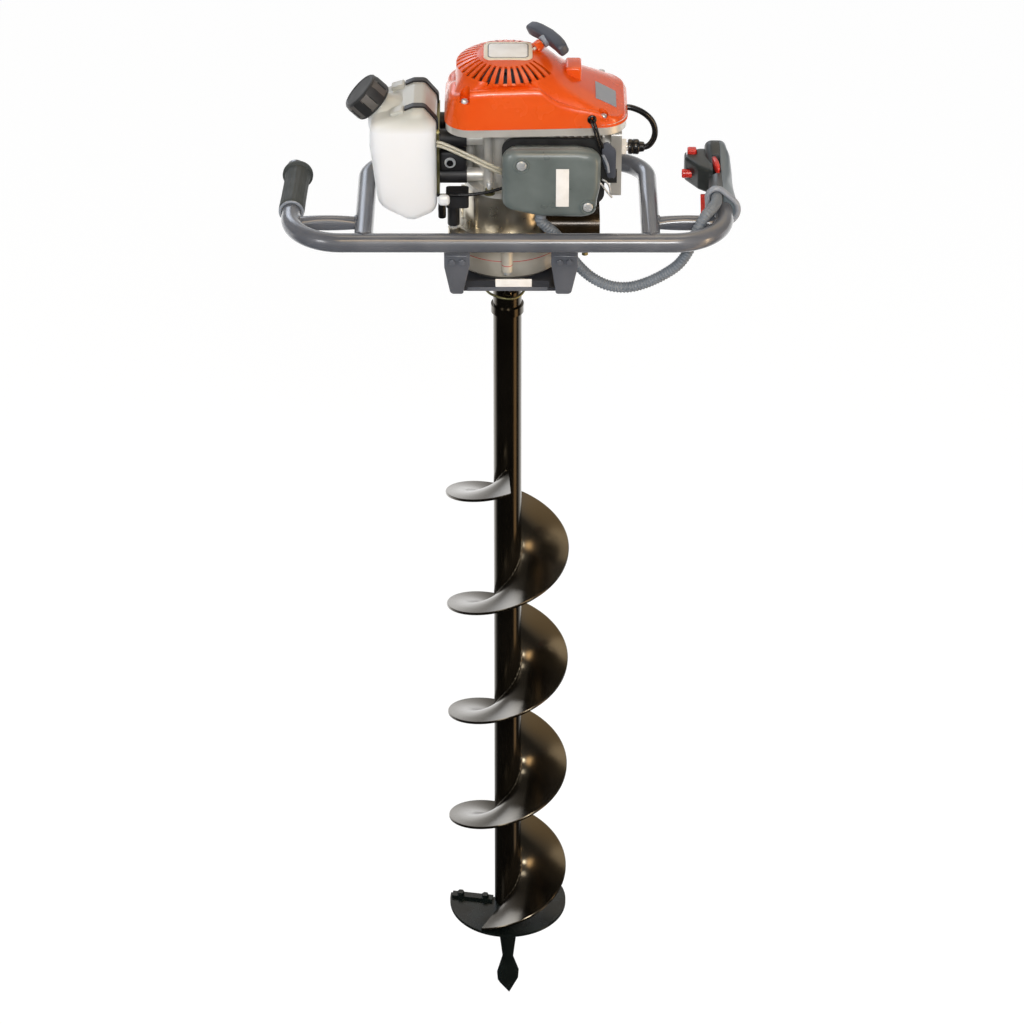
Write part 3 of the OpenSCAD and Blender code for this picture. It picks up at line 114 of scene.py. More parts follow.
# Colour that drifts between tones, roughness that drifts, and a fine bump
def mottle(tree, shader, place, tones, blotchMm, rough, grainMm=None, bump=0.05, bumpMm=0.1):
    cloud = addNode(tree, "ShaderNodeTexNoise", {"Scale": perMm(blotchMm), "Detail": 3.0}, {"Vector": place})
    if tones:
        stops = [(0.3 + 0.4 * i / (len(tones) - 1), hexColor(t)) for i, t in enumerate(tones)]
        ramp = addNode(tree, "ShaderNodeValToRGB", {"stops": stops}, {"Fac": cloud.outputs["Fac"]})
        tree.links.new(ramp.outputs["Color"], shader.inputs["Base Color"])
    span = addNode(tree, "ShaderNodeMapRange", {"From Min": 0.3, "From Max": 0.7, "To Min": rough[0],
                                                "To Max": rough[1]},
                   {"Value": cloud.outputs["Fac"]})
    tree.links.new(span.outputs["Result"], shader.inputs["Roughness"])
    if grainMm:
        grain = addNode(tree, "ShaderNodeTexNoise", {"Scale": perMm(grainMm), "Detail": 2.0},
                        {"Vector": place})
        relief = addNode(tree, "ShaderNodeBump", {"Strength": bump, "Distance": bumpMm / 1000},
                         {"Height": grain.outputs["Fac"]})
        tree.links.new(relief.outputs["Normal"], shader.inputs["Normal"])


# Finish with drifting tones; look is what mottle takes after place
def finishOf(name, shaderValues, *look):
    mat, tree, shader, place = newFinish(name, shaderValues)
    mottle(tree, shader, place, *look)
    return mat


finishes = {}


# Blue grey stoving enamel on steel tube: soft gloss with a little orange peel
def frameEnamel():
    return finishOf("stoved blue grey enamel", {"Roughness": 0.24, "Coat Weight": 0.3, "Coat Roughness": 0.1},
                    ["#53565d", "#5e6168", "#666970"], 60, (0.2, 0.28), 3.0, 0.06, 0.04)


# Sand cast aluminium: warm grey, grainy, brighter where it was blasted
def castAluminium():
    return finishOf("sand cast aluminium", {"Metallic": 0.5, "Roughness": 0.42},
                    ["#cbc3b2", "#d8d0c1", "#e1dbce"], 32, (0.4, 0.52), 1.1, 0.25, 0.08)


# Pressure cast and machined aluminium, a cleaner grey
def machinedAluminium():
    return finishOf("machined aluminium", {"Metallic": 0.95, "Roughness": 0.34},
                    ["#b4b3ae", "#c6c5c0"], 20, (0.28, 0.42), 0.9, 0.15, 0.05)


# Orange moulded ABS: even colour, soft gloss, shallow moulding grain
def orangeAbs():
    return finishOf("orange moulded ABS", {"Roughness": 0.26, "IOR": 1.5, "Coat Weight": 0.15,
                                           "Coat Roughness": 0.1},
                    ["#dd4e0a", "#e1560e"], 45, (0.23, 0.3), 1.6, 0.04, 0.03)


# Grey green glass filled nylon of the filter cover: satin, faintly cloudy
def greyNylon():
    return finishOf("grey glass filled nylon", {"Roughness": 0.45, "IOR": 1.53},
                    ["#575f5e", "#616a69", "#6a7372"], 35, (0.26, 0.34), 1.3, 0.12, 0.06)


# Dark moulded handle plastic, darkened as painted shade for the inner half, with a fine spark eroded grain
def handlePlastic():
    return finishOf("dark grained polypropylene", {"Roughness": 0.42, "IOR": 1.5},
                    ["#272c2c", "#303636"], 30, (0.36, 0.48), 0.9, 0.2, 0.06)


# Outer half of the handle: the same plastic made a lighter slate as painted light for its lit side, with the
# same fine grain
def litSideHandle():
    return finishOf("slate polypropylene painted lit side", {"Roughness": 0.38, "IOR": 1.5},
                    ["#5b6770", "#68747c"], 30, (0.32, 0.44), 0.9, 0.2, 0.06)


# Red moulded ABS of the switches and levers: bright, soft gloss
def redPlastic():
    return finishOf("red moulded ABS", {"Roughness": 0.3, "IOR": 1.53},
                    ["#cc2620", "#de3a2e"], 12, (0.26, 0.36), 1.0, 0.1, 0.04)


# Slate moulded nylon of the pull handle and choke panel: dull, even grain
def darkPlastic():
    return finishOf("slate moulded nylon", {"Roughness": 0.45, "IOR": 1.53},
                    ["#3f434d", "#4a4e59"], 25, (0.4, 0.52), 1.0, 0.2, 0.06)


# Soft rubber: matt, slightly dusty
def gripRubber():
    return finishOf("moulded nitrile rubber", {"Roughness": 0.68},
                    ["#343837", "#3d4241"], 18, (0.6, 0.76), 0.8, 0.3, 0.1)


# Black extruded rubber of the buffers and straps: dull black
def blackRubber():
    return finishOf("black extruded rubber", {"Roughness": 0.5},
                    ["#17171a", "#212124"], 15, (0.42, 0.58), 0.8, 0.15, 0.05)


# Blow moulded polythene: milky white, greyer towards the top as painted shade, light goes a little way in
def milkyPolythene():
    mat, tree, shader, place = newFinish("milky blow moulded polythene", {
        "Roughness": 0.36, "IOR": 1.5, "Subsurface Weight": 0.25, "Subsurface Scale": 0.008})
    shader.inputs["Subsurface Radius"].default_value = (1.0, 0.98, 0.95)
    mottle(tree, shader, place, None, 50, (0.3, 0.42), 2.5, 0.08, 0.06)
    # painted shade: the colour greys from z 112 mm up to z 130 mm
    high = addNode(tree, "ShaderNodeSeparateXYZ", links={"Vector": place})
    level = addNode(tree, "ShaderNodeMapRange", {"From Min": 0.112, "From Max": 0.130},
                    {"Value": high.outputs["Z"]})
    stops = [(0.0, hexColor("#eceef1")), (0.5, hexColor("#d8d8d3")), (1.0, hexColor("#bcbcb4"))]
    ramp = addNode(tree, "ShaderNodeValToRGB", {"stops": stops}, {"Fac": level.outputs["Result"]})
    tree.links.new(ramp.outputs["Color"], shader.inputs["Base Color"])
    return mat


# Sunk flats of the cap, a lighter grey
def capPanel():
    return finishOf("lighter fluted polypropylene", {"Roughness": 0.5},
                    ["#55524f", "#625f5b"], 10, (0.42, 0.56), 0.8, 0.2, 0.06)


# Bright pressure cast aluminium of the engine
def dieCast():
    return finishOf("pressure cast aluminium", {"Metallic": 0.55, "Roughness": 0.42},
                    ["#c9c7c0", "#d6d4ce", "#dedcd7"], 30, (0.36, 0.48), 1.0, 0.15, 0.06)


# Turned bell of the clutch, brushed round
def brushedBell():
    return finishOf("brushed aluminium bell", {"Metallic": 0.95, "Roughness": 0.3},
                    ["#b5ad9c", "#c4bdae", "#cfc9bc"], 26, (0.26, 0.38), 1.2, 0.12, 0.04)


# Gloss black stoved shield and silencer, its colour tinted warm brown as a painted golden reflection
def shieldEnamel():
    return finishOf("stoved black silencer enamel", {"Roughness": 0.22, "IOR": 1.6, "Metallic": 0.35},
                    ["#241b10", "#3a2c18"], 40, (0.18, 0.3), 2.0, 0.1, 0.05)


# Tray: the same enamel, darkened all over as painted shade where it lies under the gearbox
def trayEnamel():
    return finishOf("shaded dark enamel", {"Roughness": 0.45},
                    ["#2a2c31", "#33353b"], 40, (0.4, 0.5), 3.0, 0.1, 0.05)


# Black polypropylene of the filler cap: satin, with a fine grain
def capPlastic():
    return finishOf("black fluted polypropylene", {"Roughness": 0.5},
                    ["#1f2021", "#2a2b2c"], 15, (0.42, 0.56), 0.8, 0.2, 0.06)


# Zinc plate: bright, slightly blue, lightly brushed
def zincPlate():
    return finishOf("bright zinc plate", {"Metallic": 0.55, "Roughness": 0.36},
                    ["#c6c9cb", "#dcdedf"], 6, (0.3, 0.44), 0.7, 0.1, 0.03)


# Yellow passivated zinc: olive gold, blotchy
def oliveZinc():
    return finishOf("yellow passivated zinc", {"Metallic": 0.9, "Roughness": 0.42},
                    ["#6a6a4c", "#857f58", "#8f8a6a"], 9, (0.34, 0.5), 0.8, 0.1, 0.03)


# Ground gear steel: bright grey with a fine grind
def gearSteel():
    return finishOf("ground gear steel", {"Metallic": 1.0, "Roughness": 0.3},
                    ["#8a8c90", "#9b9da1"], 8, (0.24, 0.36), 0.6, 0.1, 0.02)


# Red fibre gasket: matt and flecked
def redGasket():
    return finishOf("red fibre gasket", {"Roughness": 0.7},
                    ["#b8433c", "#c85a50"], 5, (0.6, 0.8))


# Glazed white ceramic of the plug: smooth and bright
def whiteCeramic():
    return finishOf("glazed white ceramic", {"Roughness": 0.15, "IOR": 1.55},
                    ["#e6e3da", "#f0eee8"], 8, (0.12, 0.2))


# Clear hose yellowed by fuel: glossy, partly see-through
def fuelHose():
    return finishOf("clear yellowed fuel hose", {"Roughness": 0.2, "IOR": 1.45, "Transmission Weight": 0.35},
                    ["#c9c3ae", "#d8d3c2"], 15, (0.15, 0.25))


# Grey polyamide of the ribbed conduit: satin
def conduitPlastic():
    return finishOf("grey ribbed polyamide", {"Roughness": 0.5},
                    ["#6d747c", "#7b828a"], 20, (0.45, 0.58), 0.8, 0.1, 0.04)


# Open cell foam: matt and pitted
def filterFoam():
    return finishOf("open cell foam", {"Roughness": 0.95},
                    ["#3b3b30", "#4d4c3f"], 3, (0.9, 1.0), 1.5, 0.8, 0.6)


# Braided polyester rope: pale and matt, weave drawn coarse enough to show
def braidedRope():
    return finishOf("braided polyester rope", {"Roughness": 0.8},
                    ["#c9c4b2", "#dcd8c8"], 2, (0.7, 0.9), 1.2, 0.6, 0.3)


# Gloss black enamel on the bit: near black, wet looking, its reflections tinted warm as painted golden light
def bitEnamel():
    return finishOf("gloss black enamel", {"Roughness": 0.2, "IOR": 1.45, "Specular IOR Level": 0.9,
                                           "Specular Tint": (1.0, 0.83, 0.58, 1.0)},
                    ["#060504", "#0b0907"], 70, (0.16, 0.24), 6.0, 0.03, 0.03)


# Dark green grey enamel of the cutting plate and point: duller than the bit
def bladeEnamel():
    return finishOf("dark green grey enamel", {"Roughness": 0.25, "IOR": 1.36},
                    ["#0b0f0e", "#131a19"], 25, (0.2, 0.32), 4.0, 0.05, 0.04)


# Cream stove enamel of the bare badge plates: soft sheen
def creamEnamel():
    return finishOf("cream enamelled plate", {"Roughness": 0.35},
                    ["#d9cdb6", "#e2d8c4"], 12, (0.3, 0.4))


# White enamel of the bare label plates: soft sheen
def paleEnamel():
    return finishOf("white enamelled plate", {"Roughness": 0.35},
                    ["#e4e1dc", "#efedea"], 12, (0.3, 0.4))


# Light grey moulded trim of the cuff, also used for the grip's pale ring, a painted edge highlight
def cuffPlastic():
    return finishOf("light grey moulded trim", {"Roughness": 0.4},
                    ["#8a909a", "#979da6"], 15, (0.34, 0.46), 0.9, 0.1, 0.04)


# Wet looking black rubber of the leads
def glossRubber():
    return finishOf("gloss black cable rubber", {"Roughness": 0.24, "IOR": 1.5},
                    ["#0e0e10", "#161618"], 15, (0.2, 0.3), 1.5, 0.08, 0.03)


for make in (litSideHandle, capPanel, dieCast, brushedBell, shieldEnamel, trayEnamel, cuffPlastic,
             glossRubber, creamEnamel, paleEnamel, frameEnamel, castAluminium, machinedAluminium, orangeAbs,
             greyNylon, handlePlastic, redPlastic, darkPlastic, gripRubber, blackRubber, milkyPolythene,
             capPlastic, zincPlate, oliveZinc, gearSteel, redGasket, whiteCeramic, fuelHose, conduitPlastic,
             filterFoam, braidedRope, bitEnamel, bladeEnamel):
    finishes[make.__name__] = make()
print("finishes:", len(finishes))

nodeFinish = {
    "frameEnamel": ["handlebar", "rear_loop", "grip_braces", "hangers"],
    "trayEnamel": ["base_tray"],
    "gripRubber": ["left_grip"],
    "blackRubber": ["tank_buffers", "ignition_lead", "tank_strap"],
    "handlePlastic": ["throttle_housing", "throttle_cover"],
    "redPlastic": ["throttle_trigger", "trigger_lock", "stop_switch", "half_throttle_button"],
    "conduitPlastic": ["throttle_conduit"],
    "castAluminium": ["gearbox_lower", "gearbox_upper"],
    "dieCast": ["crankcase", "fan_housing", "cylinder"],
    "brushedBell": ["clutch_housing"],
    "machinedAluminium": ["carburettor", "flywheel"],
    "redGasket": ["gearbox_gasket"],
    "zincPlate": ["gearbox_bolts", "cover_screws", "filter_screws", "hitch_pin", "crankshaft"],
    "gearSteel": ["gearbox_bearings", "ring_gears", "output_carrier", "first_carrier",
                  "planet_1a", "planet_1b", "planet_1c", "planet_2a", "planet_2b", "planet_2c",
                  "clutch_drum", "clutch_shoes"],
    "orangeAbs": ["starter_cover"],
    "darkPlastic": ["starter_pulley", "starter_handle"],
    "braidedRope": ["starter_rope"],
    "shieldEnamel": ["muffler"],
    "whiteCeramic": ["spark_plug"],
    "greyNylon": ["filter_cover", "choke_lever"],
    "filterFoam": ["air_filter"],
    "milkyPolythene": ["fuel_tank"],
    "capPlastic": ["fuel_cap", "filter_base"],
    "oliveZinc": ["tank_bracket"],
    "fuelHose": ["fuel_hoses"],
    "bitEnamel": ["auger_tube", "auger_flight"],
    "bladeEnamel": ["blade_plate", "pilot_point"],
}
for finish, names in nodeFinish.items():
    for name in names:
        nodes[name].data.materials.clear()
        nodes[name].data.materials.append(finishes[finish])

# camera at the photograph's place, taken from a fit to the flight and the handle
camSet = {"lens": 131.05, "at": (0.0054, -3.8227, 2.0074), "tilt": 57.53}
camData = bpy.data.cameras.new("photoCamera")
camData.lens = camSet["lens"]
camData.sensor_width = 36.0
camData.clip_end = 50
cam = bpy.data.objects.new("photoCamera", camData)
cam.location = camSet["at"]
cam.rotation_euler = (math.radians(camSet["tilt"]), 0, 0)
bpy.context.scene.collection.objects.link(cam)
bpy.context.scene.camera = cam

# conduit: a ribbed tube on the route of the solids, in millimetres
conduitSet = {
    "route": [(240, -4, 17), (240, -13, 17), (240, -22, 17), (239, -36, 18), (234, -51, 18), (225, -64, 14),
              (216, -71, 0), (208, -74, -22), (196, -74, -42), (178, -71, -58), (157, -69, -70),
              (137, -67, -76), (116, -66, -74), (96, -64, -64), (80, -65, -47), (68, -69, -27),
              (57, -74, -6), (45, -77, 8), (38, -78, 16), (38, -78, 24), (38, -78, 31)],
    "outer": 13.0, "deep": 0.9, "ribMm": 3.6, "sides": 16,
}


# Smooth curve through the points, in equal steps
def smoothRoute(points, stepMm):
    p = [Vector(q) for q in points]
    p = [2 * p[0] - p[1]] + p + [2 * p[-1] - p[-2]]
    fine = []
    for i in range(1, len(p) - 2):
        for k in range(24):
            t = k / 24
            a, b, c, d = p[i - 1], p[i], p[i + 1], p[i + 2]
            bend = (2 * a - 5 * b + 4 * c - d) * t * t
            fine.append(0.5 * (2 * b + (c - a) * t + bend + (3 * b - a - 3 * c + d) * t ** 3))
    fine.append(p[-2])
    run = [0.0]
    for a, b in zip(fine, fine[1:]):
        run.append(run[-1] + (b - a).length)
    count = max(2, round(run[-1] / stepMm))
    out = []
    j = 0
    for k in range(count + 1):
        want = run[-1] * k / count
        while j < len(run) - 2 and run[j + 1] < want:
            j += 1
        t = (want - run[j]) / (run[j + 1] - run[j])
        out.append(fine[j].lerp(fine[j + 1], min(1.0, t)))
    return out, run[-1]


# Cosine and sine of equal turns round a circle
def circle(count):
    return [(math.cos(2 * math.pi * k / count), math.sin(2 * math.pi * k / count)) for k in range(count)]


# Tube of rings along a route; radiusOf gives each ring's radius in mm
def sweepTube(name, route, radiusOf, sides, finish, body):
    mesh = bpy.data.meshes.new(name)
    bm = bmesh.new()
    side = None
    rings = []
    for i, at in enumerate(route):
        ahead = (route[min(i + 1, len(route) - 1)] - route[max(i - 1, 0)]).normalized()
        if side is None:
            side = Vector((0, 0, 1)) if abs(ahead.z) < 0.9 else Vector((1, 0, 0))
        side = (side - side.dot(ahead) * ahead).normalized()
        other = ahead.cross(side)
        r = radiusOf(i)
        rings.append([bm.verts.new((at + r * (c * side + s * other)) / 1000) for c, s in circle(sides)])
    for a, b in zip(rings, rings[1:]):
        for k in range(sides):
            bm.faces.new((a[k], a[(k + 1) % sides], b[(k + 1) % sides], b[k]))
    bm.faces.new(list(reversed(rings[0])))
    bm.faces.new(rings[-1])
    bmesh.ops.recalc_face_normals(bm, faces=bm.faces)
    for f in bm.faces:
        f.smooth = len(f.verts) == 4
    bm.to_mesh(mesh)
    bm.free()
    obj = bpy.data.objects.new(name, mesh)
    bpy.context.scene.collection.objects.link(obj)
    mesh.materials.append(finishes[finish])
    if body:
        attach(obj, body)
    return obj


conduitLine, conduitLength = smoothRoute(conduitSet["route"], conduitSet["ribMm"] / 4)
ribSteps = [0.0, 0.0, 1.0, 1.0]
conduit = sweepTube("ribbedConduit", conduitLine,
                    lambda i: conduitSet["outer"] / 2 - conduitSet["deep"] * ribSteps[i % 4],
                    conduitSet["sides"], "conduitPlastic", "frame")
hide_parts("throttle_conduit")
print("conduit length mm:", round(conduitLength))


# piece helpers: lengths in millimetres, finished objects at the origin

def only(obj):
    bpy.ops.object.select_all(action="DESELECT")
    obj.select_set(True)
    bpy.context.view_layer.objects.active = obj


def editAll(obj):
    only(obj)
    bpy.ops.object.mode_set(mode="EDIT")
    bpy.ops.mesh.select_all(action="SELECT")


def leave():
    bpy.ops.object.mode_set(mode="OBJECT")


def meshPiece(name, verts, faces, edges=()):
    mesh = bpy.data.meshes.new(name)
    mesh.from_pydata([Vector(v) / 1000 for v in verts], list(edges), faces)
    obj = bpy.data.objects.new(name, mesh)
    bpy.context.scene.collection.objects.link(obj)
    return obj


def outward(obj):
    editAll(obj)
    bpy.ops.mesh.remove_doubles(threshold=0.000002)
    bpy.ops.mesh.select_all(action="SELECT")
    bpy.ops.mesh.normals_make_consistent(inside=False)
    leave()


def modify(obj, kind, **settings):
    only(obj)
    mod = obj.modifiers.new(kind.lower(), kind)
    for key, value in settings.items():
        setattr(mod, key, value)
    bpy.ops.object.modifier_apply(modifier=mod.name)


def combine(obj, tool, how="DIFFERENCE"):
    modify(obj, "BOOLEAN", operation=how, object=tool, solver="EXACT")
    bpy.data.objects.remove(tool)


def joinAll(first, others):
    only(first)
    for o in others:
        o.select_set(True)
    bpy.ops.object.join()
    return first


def soften(obj, widthMm, segments=3, angle=35):
    modify(obj, "BEVEL", width=widthMm / 1000, segments=segments, limit_method="ANGLE",
           angle_limit=math.radians(angle))


def seatPiece(obj, finish, body="frame", stands=(), angle=35):
    obj.data.materials.clear()
    obj.data.materials.append(finishes[finish])
    only(obj)
    bpy.ops.object.shade_smooth_by_angle(angle=math.radians(angle))
    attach(obj, body)
    if stands:
        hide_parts(*stands)
    return obj


# Rings of points joined one after another
def loft(name, rings):
    n = len(rings[0])
    faces = [(i * n + k, i * n + (k + 1) % n, (i + 1) * n + (k + 1) % n, (i + 1) * n + k)
             for i in range(len(rings) - 1) for k in range(n)]
    faces.append(tuple(reversed(range(n))))
    faces.append(tuple(range((len(rings) - 1) * n, len(rings) * n)))
    obj = meshPiece(name, [q for ring in rings for q in ring], faces)
    outward(obj)
    return obj


# Box with rounded edges
def block(name, low, high, roundMm, segments=3):
    bpy.ops.object.select_all(action="DESELECT")
    bpy.ops.mesh.primitive_cube_add(size=1)
    obj = bpy.context.object
    obj.name = obj.data.name = name
    size = Matrix.Diagonal([(b - a) / 1000 for a, b in zip(low, high)] + [1])
    obj.data.transform(Matrix.Translation(Vector([(a + b) / 2000 for a, b in zip(low, high)])) @ size)
    if roundMm:
        editAll(obj)
        bpy.ops.mesh.bevel(offset=roundMm / 1000, segments=segments, affect="EDGES")
        leave()
    return obj


# Turns an object's mesh so that its Z axis looks along axis and its origin is at the point
def standOn(obj, at, axis):
    turn = Vector(axis).to_track_quat("Z", "Y").to_matrix().to_4x4()
    obj.data.transform(Matrix.Translation(Vector(at) / 1000) @ turn)
    obj.data.update()
    return obj


# Profile of radius and height pairs spun round an axis
def turned(name, profile, at=(0, 0, 0), axis=(0, 0, 1), steps=48):
    obj = meshPiece(name, [(r, 0, h) for r, h in profile], [], [(i, i + 1) for i in range(len(profile) - 1)])
    editAll(obj)
    bpy.ops.mesh.spin(steps=steps, angle=2 * math.pi, center=(0, 0, 0), axis=(0, 0, 1))
    leave()
    outward(obj)
    return standOn(obj, at, axis)


# Polygon with its corners rounded; points are (a, b, radius)
def roundOutline(points, steps=6):
    out = []
    for i, (a, b, r) in enumerate(points):
        here = Vector((a, b))
        back = (Vector(points[i - 1][:2]) - here).normalized()
        ahead = (Vector(points[(i + 1) % len(points)][:2]) - here).normalized()
        half = back.angle(ahead) / 2
        if r <= 0:
            out.append(here)
            continue
        centre = here + (back + ahead).normalized() * (r / math.sin(half))
        start = here + back * (r / math.tan(half)) - centre
        end = here + ahead * (r / math.tan(half)) - centre
        sweep = start.angle_signed(end)
        for k in range(steps + 1):
            t = -sweep * k / steps
            out.append(centre + Vector((start.x * math.cos(t) - start.y * math.sin(t),
                                        start.x * math.sin(t) + start.y * math.cos(t))))
    return out


# Hexagon head with a chamfered crown, on a washer
def hexHead(name, at, axis, acrossMm, highMm, washerMm, finish):
    bpy.ops.object.select_all(action="DESELECT")
    bpy.ops.mesh.primitive_cylinder_add(vertices=6, radius=acrossMm / 1732, depth=highMm / 1000,
                                        location=(0, 0, highMm / 2000))
    obj = bpy.context.object
    obj.name = obj.data.name = name
    bpy.ops.object.transform_apply(location=True)
    crown = turned(name + "Crown", [(0, -1), (acrossMm * 0.62, -1), (acrossMm * 0.62, highMm * 0.8),
                                    (acrossMm * 0.46, highMm), (0, highMm)], steps=24)
    combine(obj, crown, "INTERSECT")
    if washerMm:
        ring = turned(name + "Washer", [(0, -0.2), (washerMm / 2, -0.2), (washerMm / 2, 0.8),
                                        (washerMm / 2 - 0.4, 1.2), (0, 1.2)], steps=32)
        obj = joinAll(obj, [ring])
    standOn(obj, at, axis)
    return seatPiece(obj, finish)


print("helpers ready")

# starter cover: drum with louvre slots, cowl sloping to the right, made on a polar grid
coverSet = {
    "foot": 126.8, "flare": 2.1, "corners": [(104, -34, 30), (104, 34, 30), (-41, 42, 28), (-41, -42, 28)],
    "wall": 2.6,
    "dome": [(0, 192), (12, 191.9), (24, 191.5), (30, 190.9), (34, 190.2), (41, 188), (47, 185.6),
             (52.5, 182.9), (57.5, 179.8)],
    "domeY": -6.0, "draft": 3.5, "edgeR": 9.0,
    "slotFrom": 4, "slotTo": 8, "slotStart": 30.0, "slots": 30, "pitch": 10.0, "rib": 5.4,
    "front": [(-140, 161), (-67, 161), (-48, 171), (-20, 172.5), (36, 173), (43, 172), (50, 165.5),
              (63, 156.5), (80, 151), (107, 145.5), (120, 139), (128, 135.5), (140, 134.5)],
    "rear": [(-140, 141), (-61, 142), (-30, 157), (0, 160), (30, 153), (63, 142), (107, 136), (140, 134.5)],
    "slotLow": 176, "creaseFrom": -25, "creaseSpan": 60, "draftFrom": 132, "draftSpan": 40, "edgeShare": 0.55,
    "roofRun": [0.0, 0.22, 0.68, 1.0], "roofFall": [0.0, 0.40, 0.64, 1.0],
    "pockets": [(-47.5, -62, 157, 6), (-47.5, 62, 143, 6), (108, -57, 136, 0), (108, 57, 136, 0)],
    "pocketR": 5.6, "pocketTop": 210,
    "boss": ((66, -15, 142), (84, 15, 176.5)), "bossFoot": ((60, -13, 150), (72, 13, 172)),
}


def between(table, x):
    for (a, va), (b, vb) in zip(table, table[1:]):
        if x <= b:
            return va + (vb - va) * (x - a) / (b - a)
    return table[-1][1]


# Outline of the cowl: an arc round each corner, the straight sides follow between them
def cowlOutline():
    ring = []
    for i, (x, y, r) in enumerate(coverSet["corners"]):
        for k in range(19):
            t = math.radians(-90 + 90 * i + 5 * k)
            ring.append((x + r * math.cos(t), y + r * math.sin(t)))
    return ring


def cowlReach(ring, angle):
    wx, wy = math.cos(angle), math.sin(angle)
    for (ax, ay), (bx, by) in zip(ring, ring[1:] + ring[:1]):
        ex, ey = bx - ax, by - ay
        det = wx * ey - wy * ex
        if abs(det) < 1e-9:
            continue
        reach = (ax * ey - ay * ex) / det
        part = (ax * wy - ay * wx) / det
        if reach > 0 and -1e-6 <= part <= 1 + 1e-6:
            return reach
    return 0.0


def coverRays():
    angles = []
    for k in range(36):
        base = coverSet["slotStart"] + k * coverSet["pitch"]
        rib = coverSet["rib"]
        angles += [base, base + rib / 2, base + rib, base + (rib + coverSet["pitch"]) / 2]
    return [math.radians(a) for a in angles]


# Height of the crease where the roof meets the wall: high along the front, lower behind
def creaseZ(x, y):
    t = min(1.0, max(0.0, (y - coverSet["creaseFrom"]) / coverSet["creaseSpan"]))
    t = t * t * (3 - 2 * t)
    return between(coverSet["front"], x) * (1 - t) + between(coverSet["rear"], x) * t


def coverRings():
    rays = coverRays()
    outline = cowlOutline()
    domeR, domeZ = coverSet["dome"][-1]
    domeY, low = coverSet["domeY"], coverSet["foot"]
    rings = [[(r * math.cos(a), domeY + r * math.sin(a), z) for a in rays] for r, z in coverSet["dome"][1:]]
    lanes = []
    for a in rays:
        way = Vector((math.cos(a), math.sin(a)))
        reach = cowlReach(outline, a)
        rim = creaseZ(reach * way.x, reach * way.y)
        top = reach - coverSet["draft"] * min(1.0, (rim - coverSet["draftFrom"]) / coverSet["draftSpan"])
        edge = min(coverSet["edgeR"], coverSet["edgeShare"] * (rim - low))
        start, end = Vector((domeR * way.x, domeY + domeR * way.y)), (top - edge) * way
        fall = domeZ - rim
        drop = [v * fall for v in coverSet["roofFall"]]
        lane = []
        for k in range(1, 11):
            t = k / 10
            w = [(1 - t) ** 3, 3 * t * (1 - t) ** 2, 3 * t * t * (1 - t), t ** 3]
            at = start.lerp(end, sum(v * q for v, q in zip(w, coverSet["roofRun"])))
            lane.append((at.x, at.y, domeZ - sum(v * q for v, q in zip(w, drop))))
        turns = [math.radians(18 * k) for k in range(1, 6)]
        foot = reach + coverSet["flare"]
        wall = [(top - edge * (1 - math.sin(t)), rim - edge * (1 - math.cos(t))) for t in turns]
        wall += [((top + foot) / 2, (rim - edge + low) / 2), (foot, low)]
        lane += [(r * way.x, r * way.y, z) for r, z in wall]
        lanes.append(lane)
    for k in range(len(lanes[0])):
        rings.append([lane[k] for lane in lanes])
    return rings


# Upright prism of a screw pocket: round towards the middle, and run out through the wall where it is long
def pocketPrism(name, x, y, run, r, low, high):
    side = math.copysign(1, -y)
    ring = []
    for k in range(17):
        t = math.pi * k / 16
        ring.append((x + r * math.cos(t), y + side * (run + r * math.sin(t))))
    for k in range(17):
        t = math.pi * k / 16
        ring.append((x - r * math.cos(t), y - side * (run + r * math.sin(t))))
    return loft(name, [[(a, b, z) for a, b in ring] for z in (low, high)])


# True for a face of the grid that lies in a louvre slot
def inSlot(at):
    x, y, z = at * 1000
    k = coverSet
    y -= k["domeY"]
    if not k["dome"][k["slotFrom"]][0] < math.hypot(x, y) < k["dome"][k["slotTo"]][0] or z < k["slotLow"]:
        return False
    turn = (math.degrees(math.atan2(y, x)) - k["slotStart"]) % 360
    return turn < k["slots"] * k["pitch"] and turn % k["pitch"] > k["rib"]


def buildCover():
    shell = loft("starterCover", coverRings())
    for i, (x, y, z, run) in enumerate(coverSet["pockets"]):
        combine(shell, pocketPrism("pocketTool%d" % i, x, y, run, coverSet["pocketR"], z,
                                   coverSet["pocketTop"]))
    bm = bmesh.new()
    bm.from_mesh(shell.data)
    floorZ = coverSet["foot"] / 1000 + 0.0002
    spare = [f for f in bm.faces if f.calc_center_median().z < floorZ or inSlot(f.calc_center_median())]
    bmesh.ops.delete(bm, geom=spare, context="FACES")
    bm.to_mesh(shell.data)
    bm.free()
    modify(shell, "SOLIDIFY", thickness=coverSet["wall"] / 1000, offset=-1.0, use_even_offset=False)
    boss = block("ropeBoss", *coverSet["boss"], 3.0, 4)
    lug = block("ropeBossFoot", *coverSet["bossFoot"], 4.0, 4)
    shell = joinAll(shell, [boss, lug])
    return seatPiece(shell, "orangeAbs", "frame", ["starter_cover"], angle=40)


cover = buildCover()
print("starter cover done, faces:", len(cover.data.polygons))

# bare plates on the cover
plateSet = {"top": [(-26.5, -25.5, 9), (28.5, -25.5, 9), (28.5, 20.5, 9), (-26.5, 20.5, 9)],
            "topZ": 190.4, "topT": 2.0, "line": (4.5, 5), "panel": (5.6, 4.4)}


def flatPlate(name, outline, lowZ, highZ, roundMm):
    ring = roundOutline(outline)
    obj = loft(name, [[(q.x, q.y, z) for q in ring] for z in (lowZ, highZ)])
    soften(obj, roundMm, 2)
    return obj


# Outline of the top plate drawn in by a margin
def insetOutline(by, r):
    return [(a - math.copysign(by, a), b - math.copysign(by, b), r) for a, b, _ in plateSet["top"]]


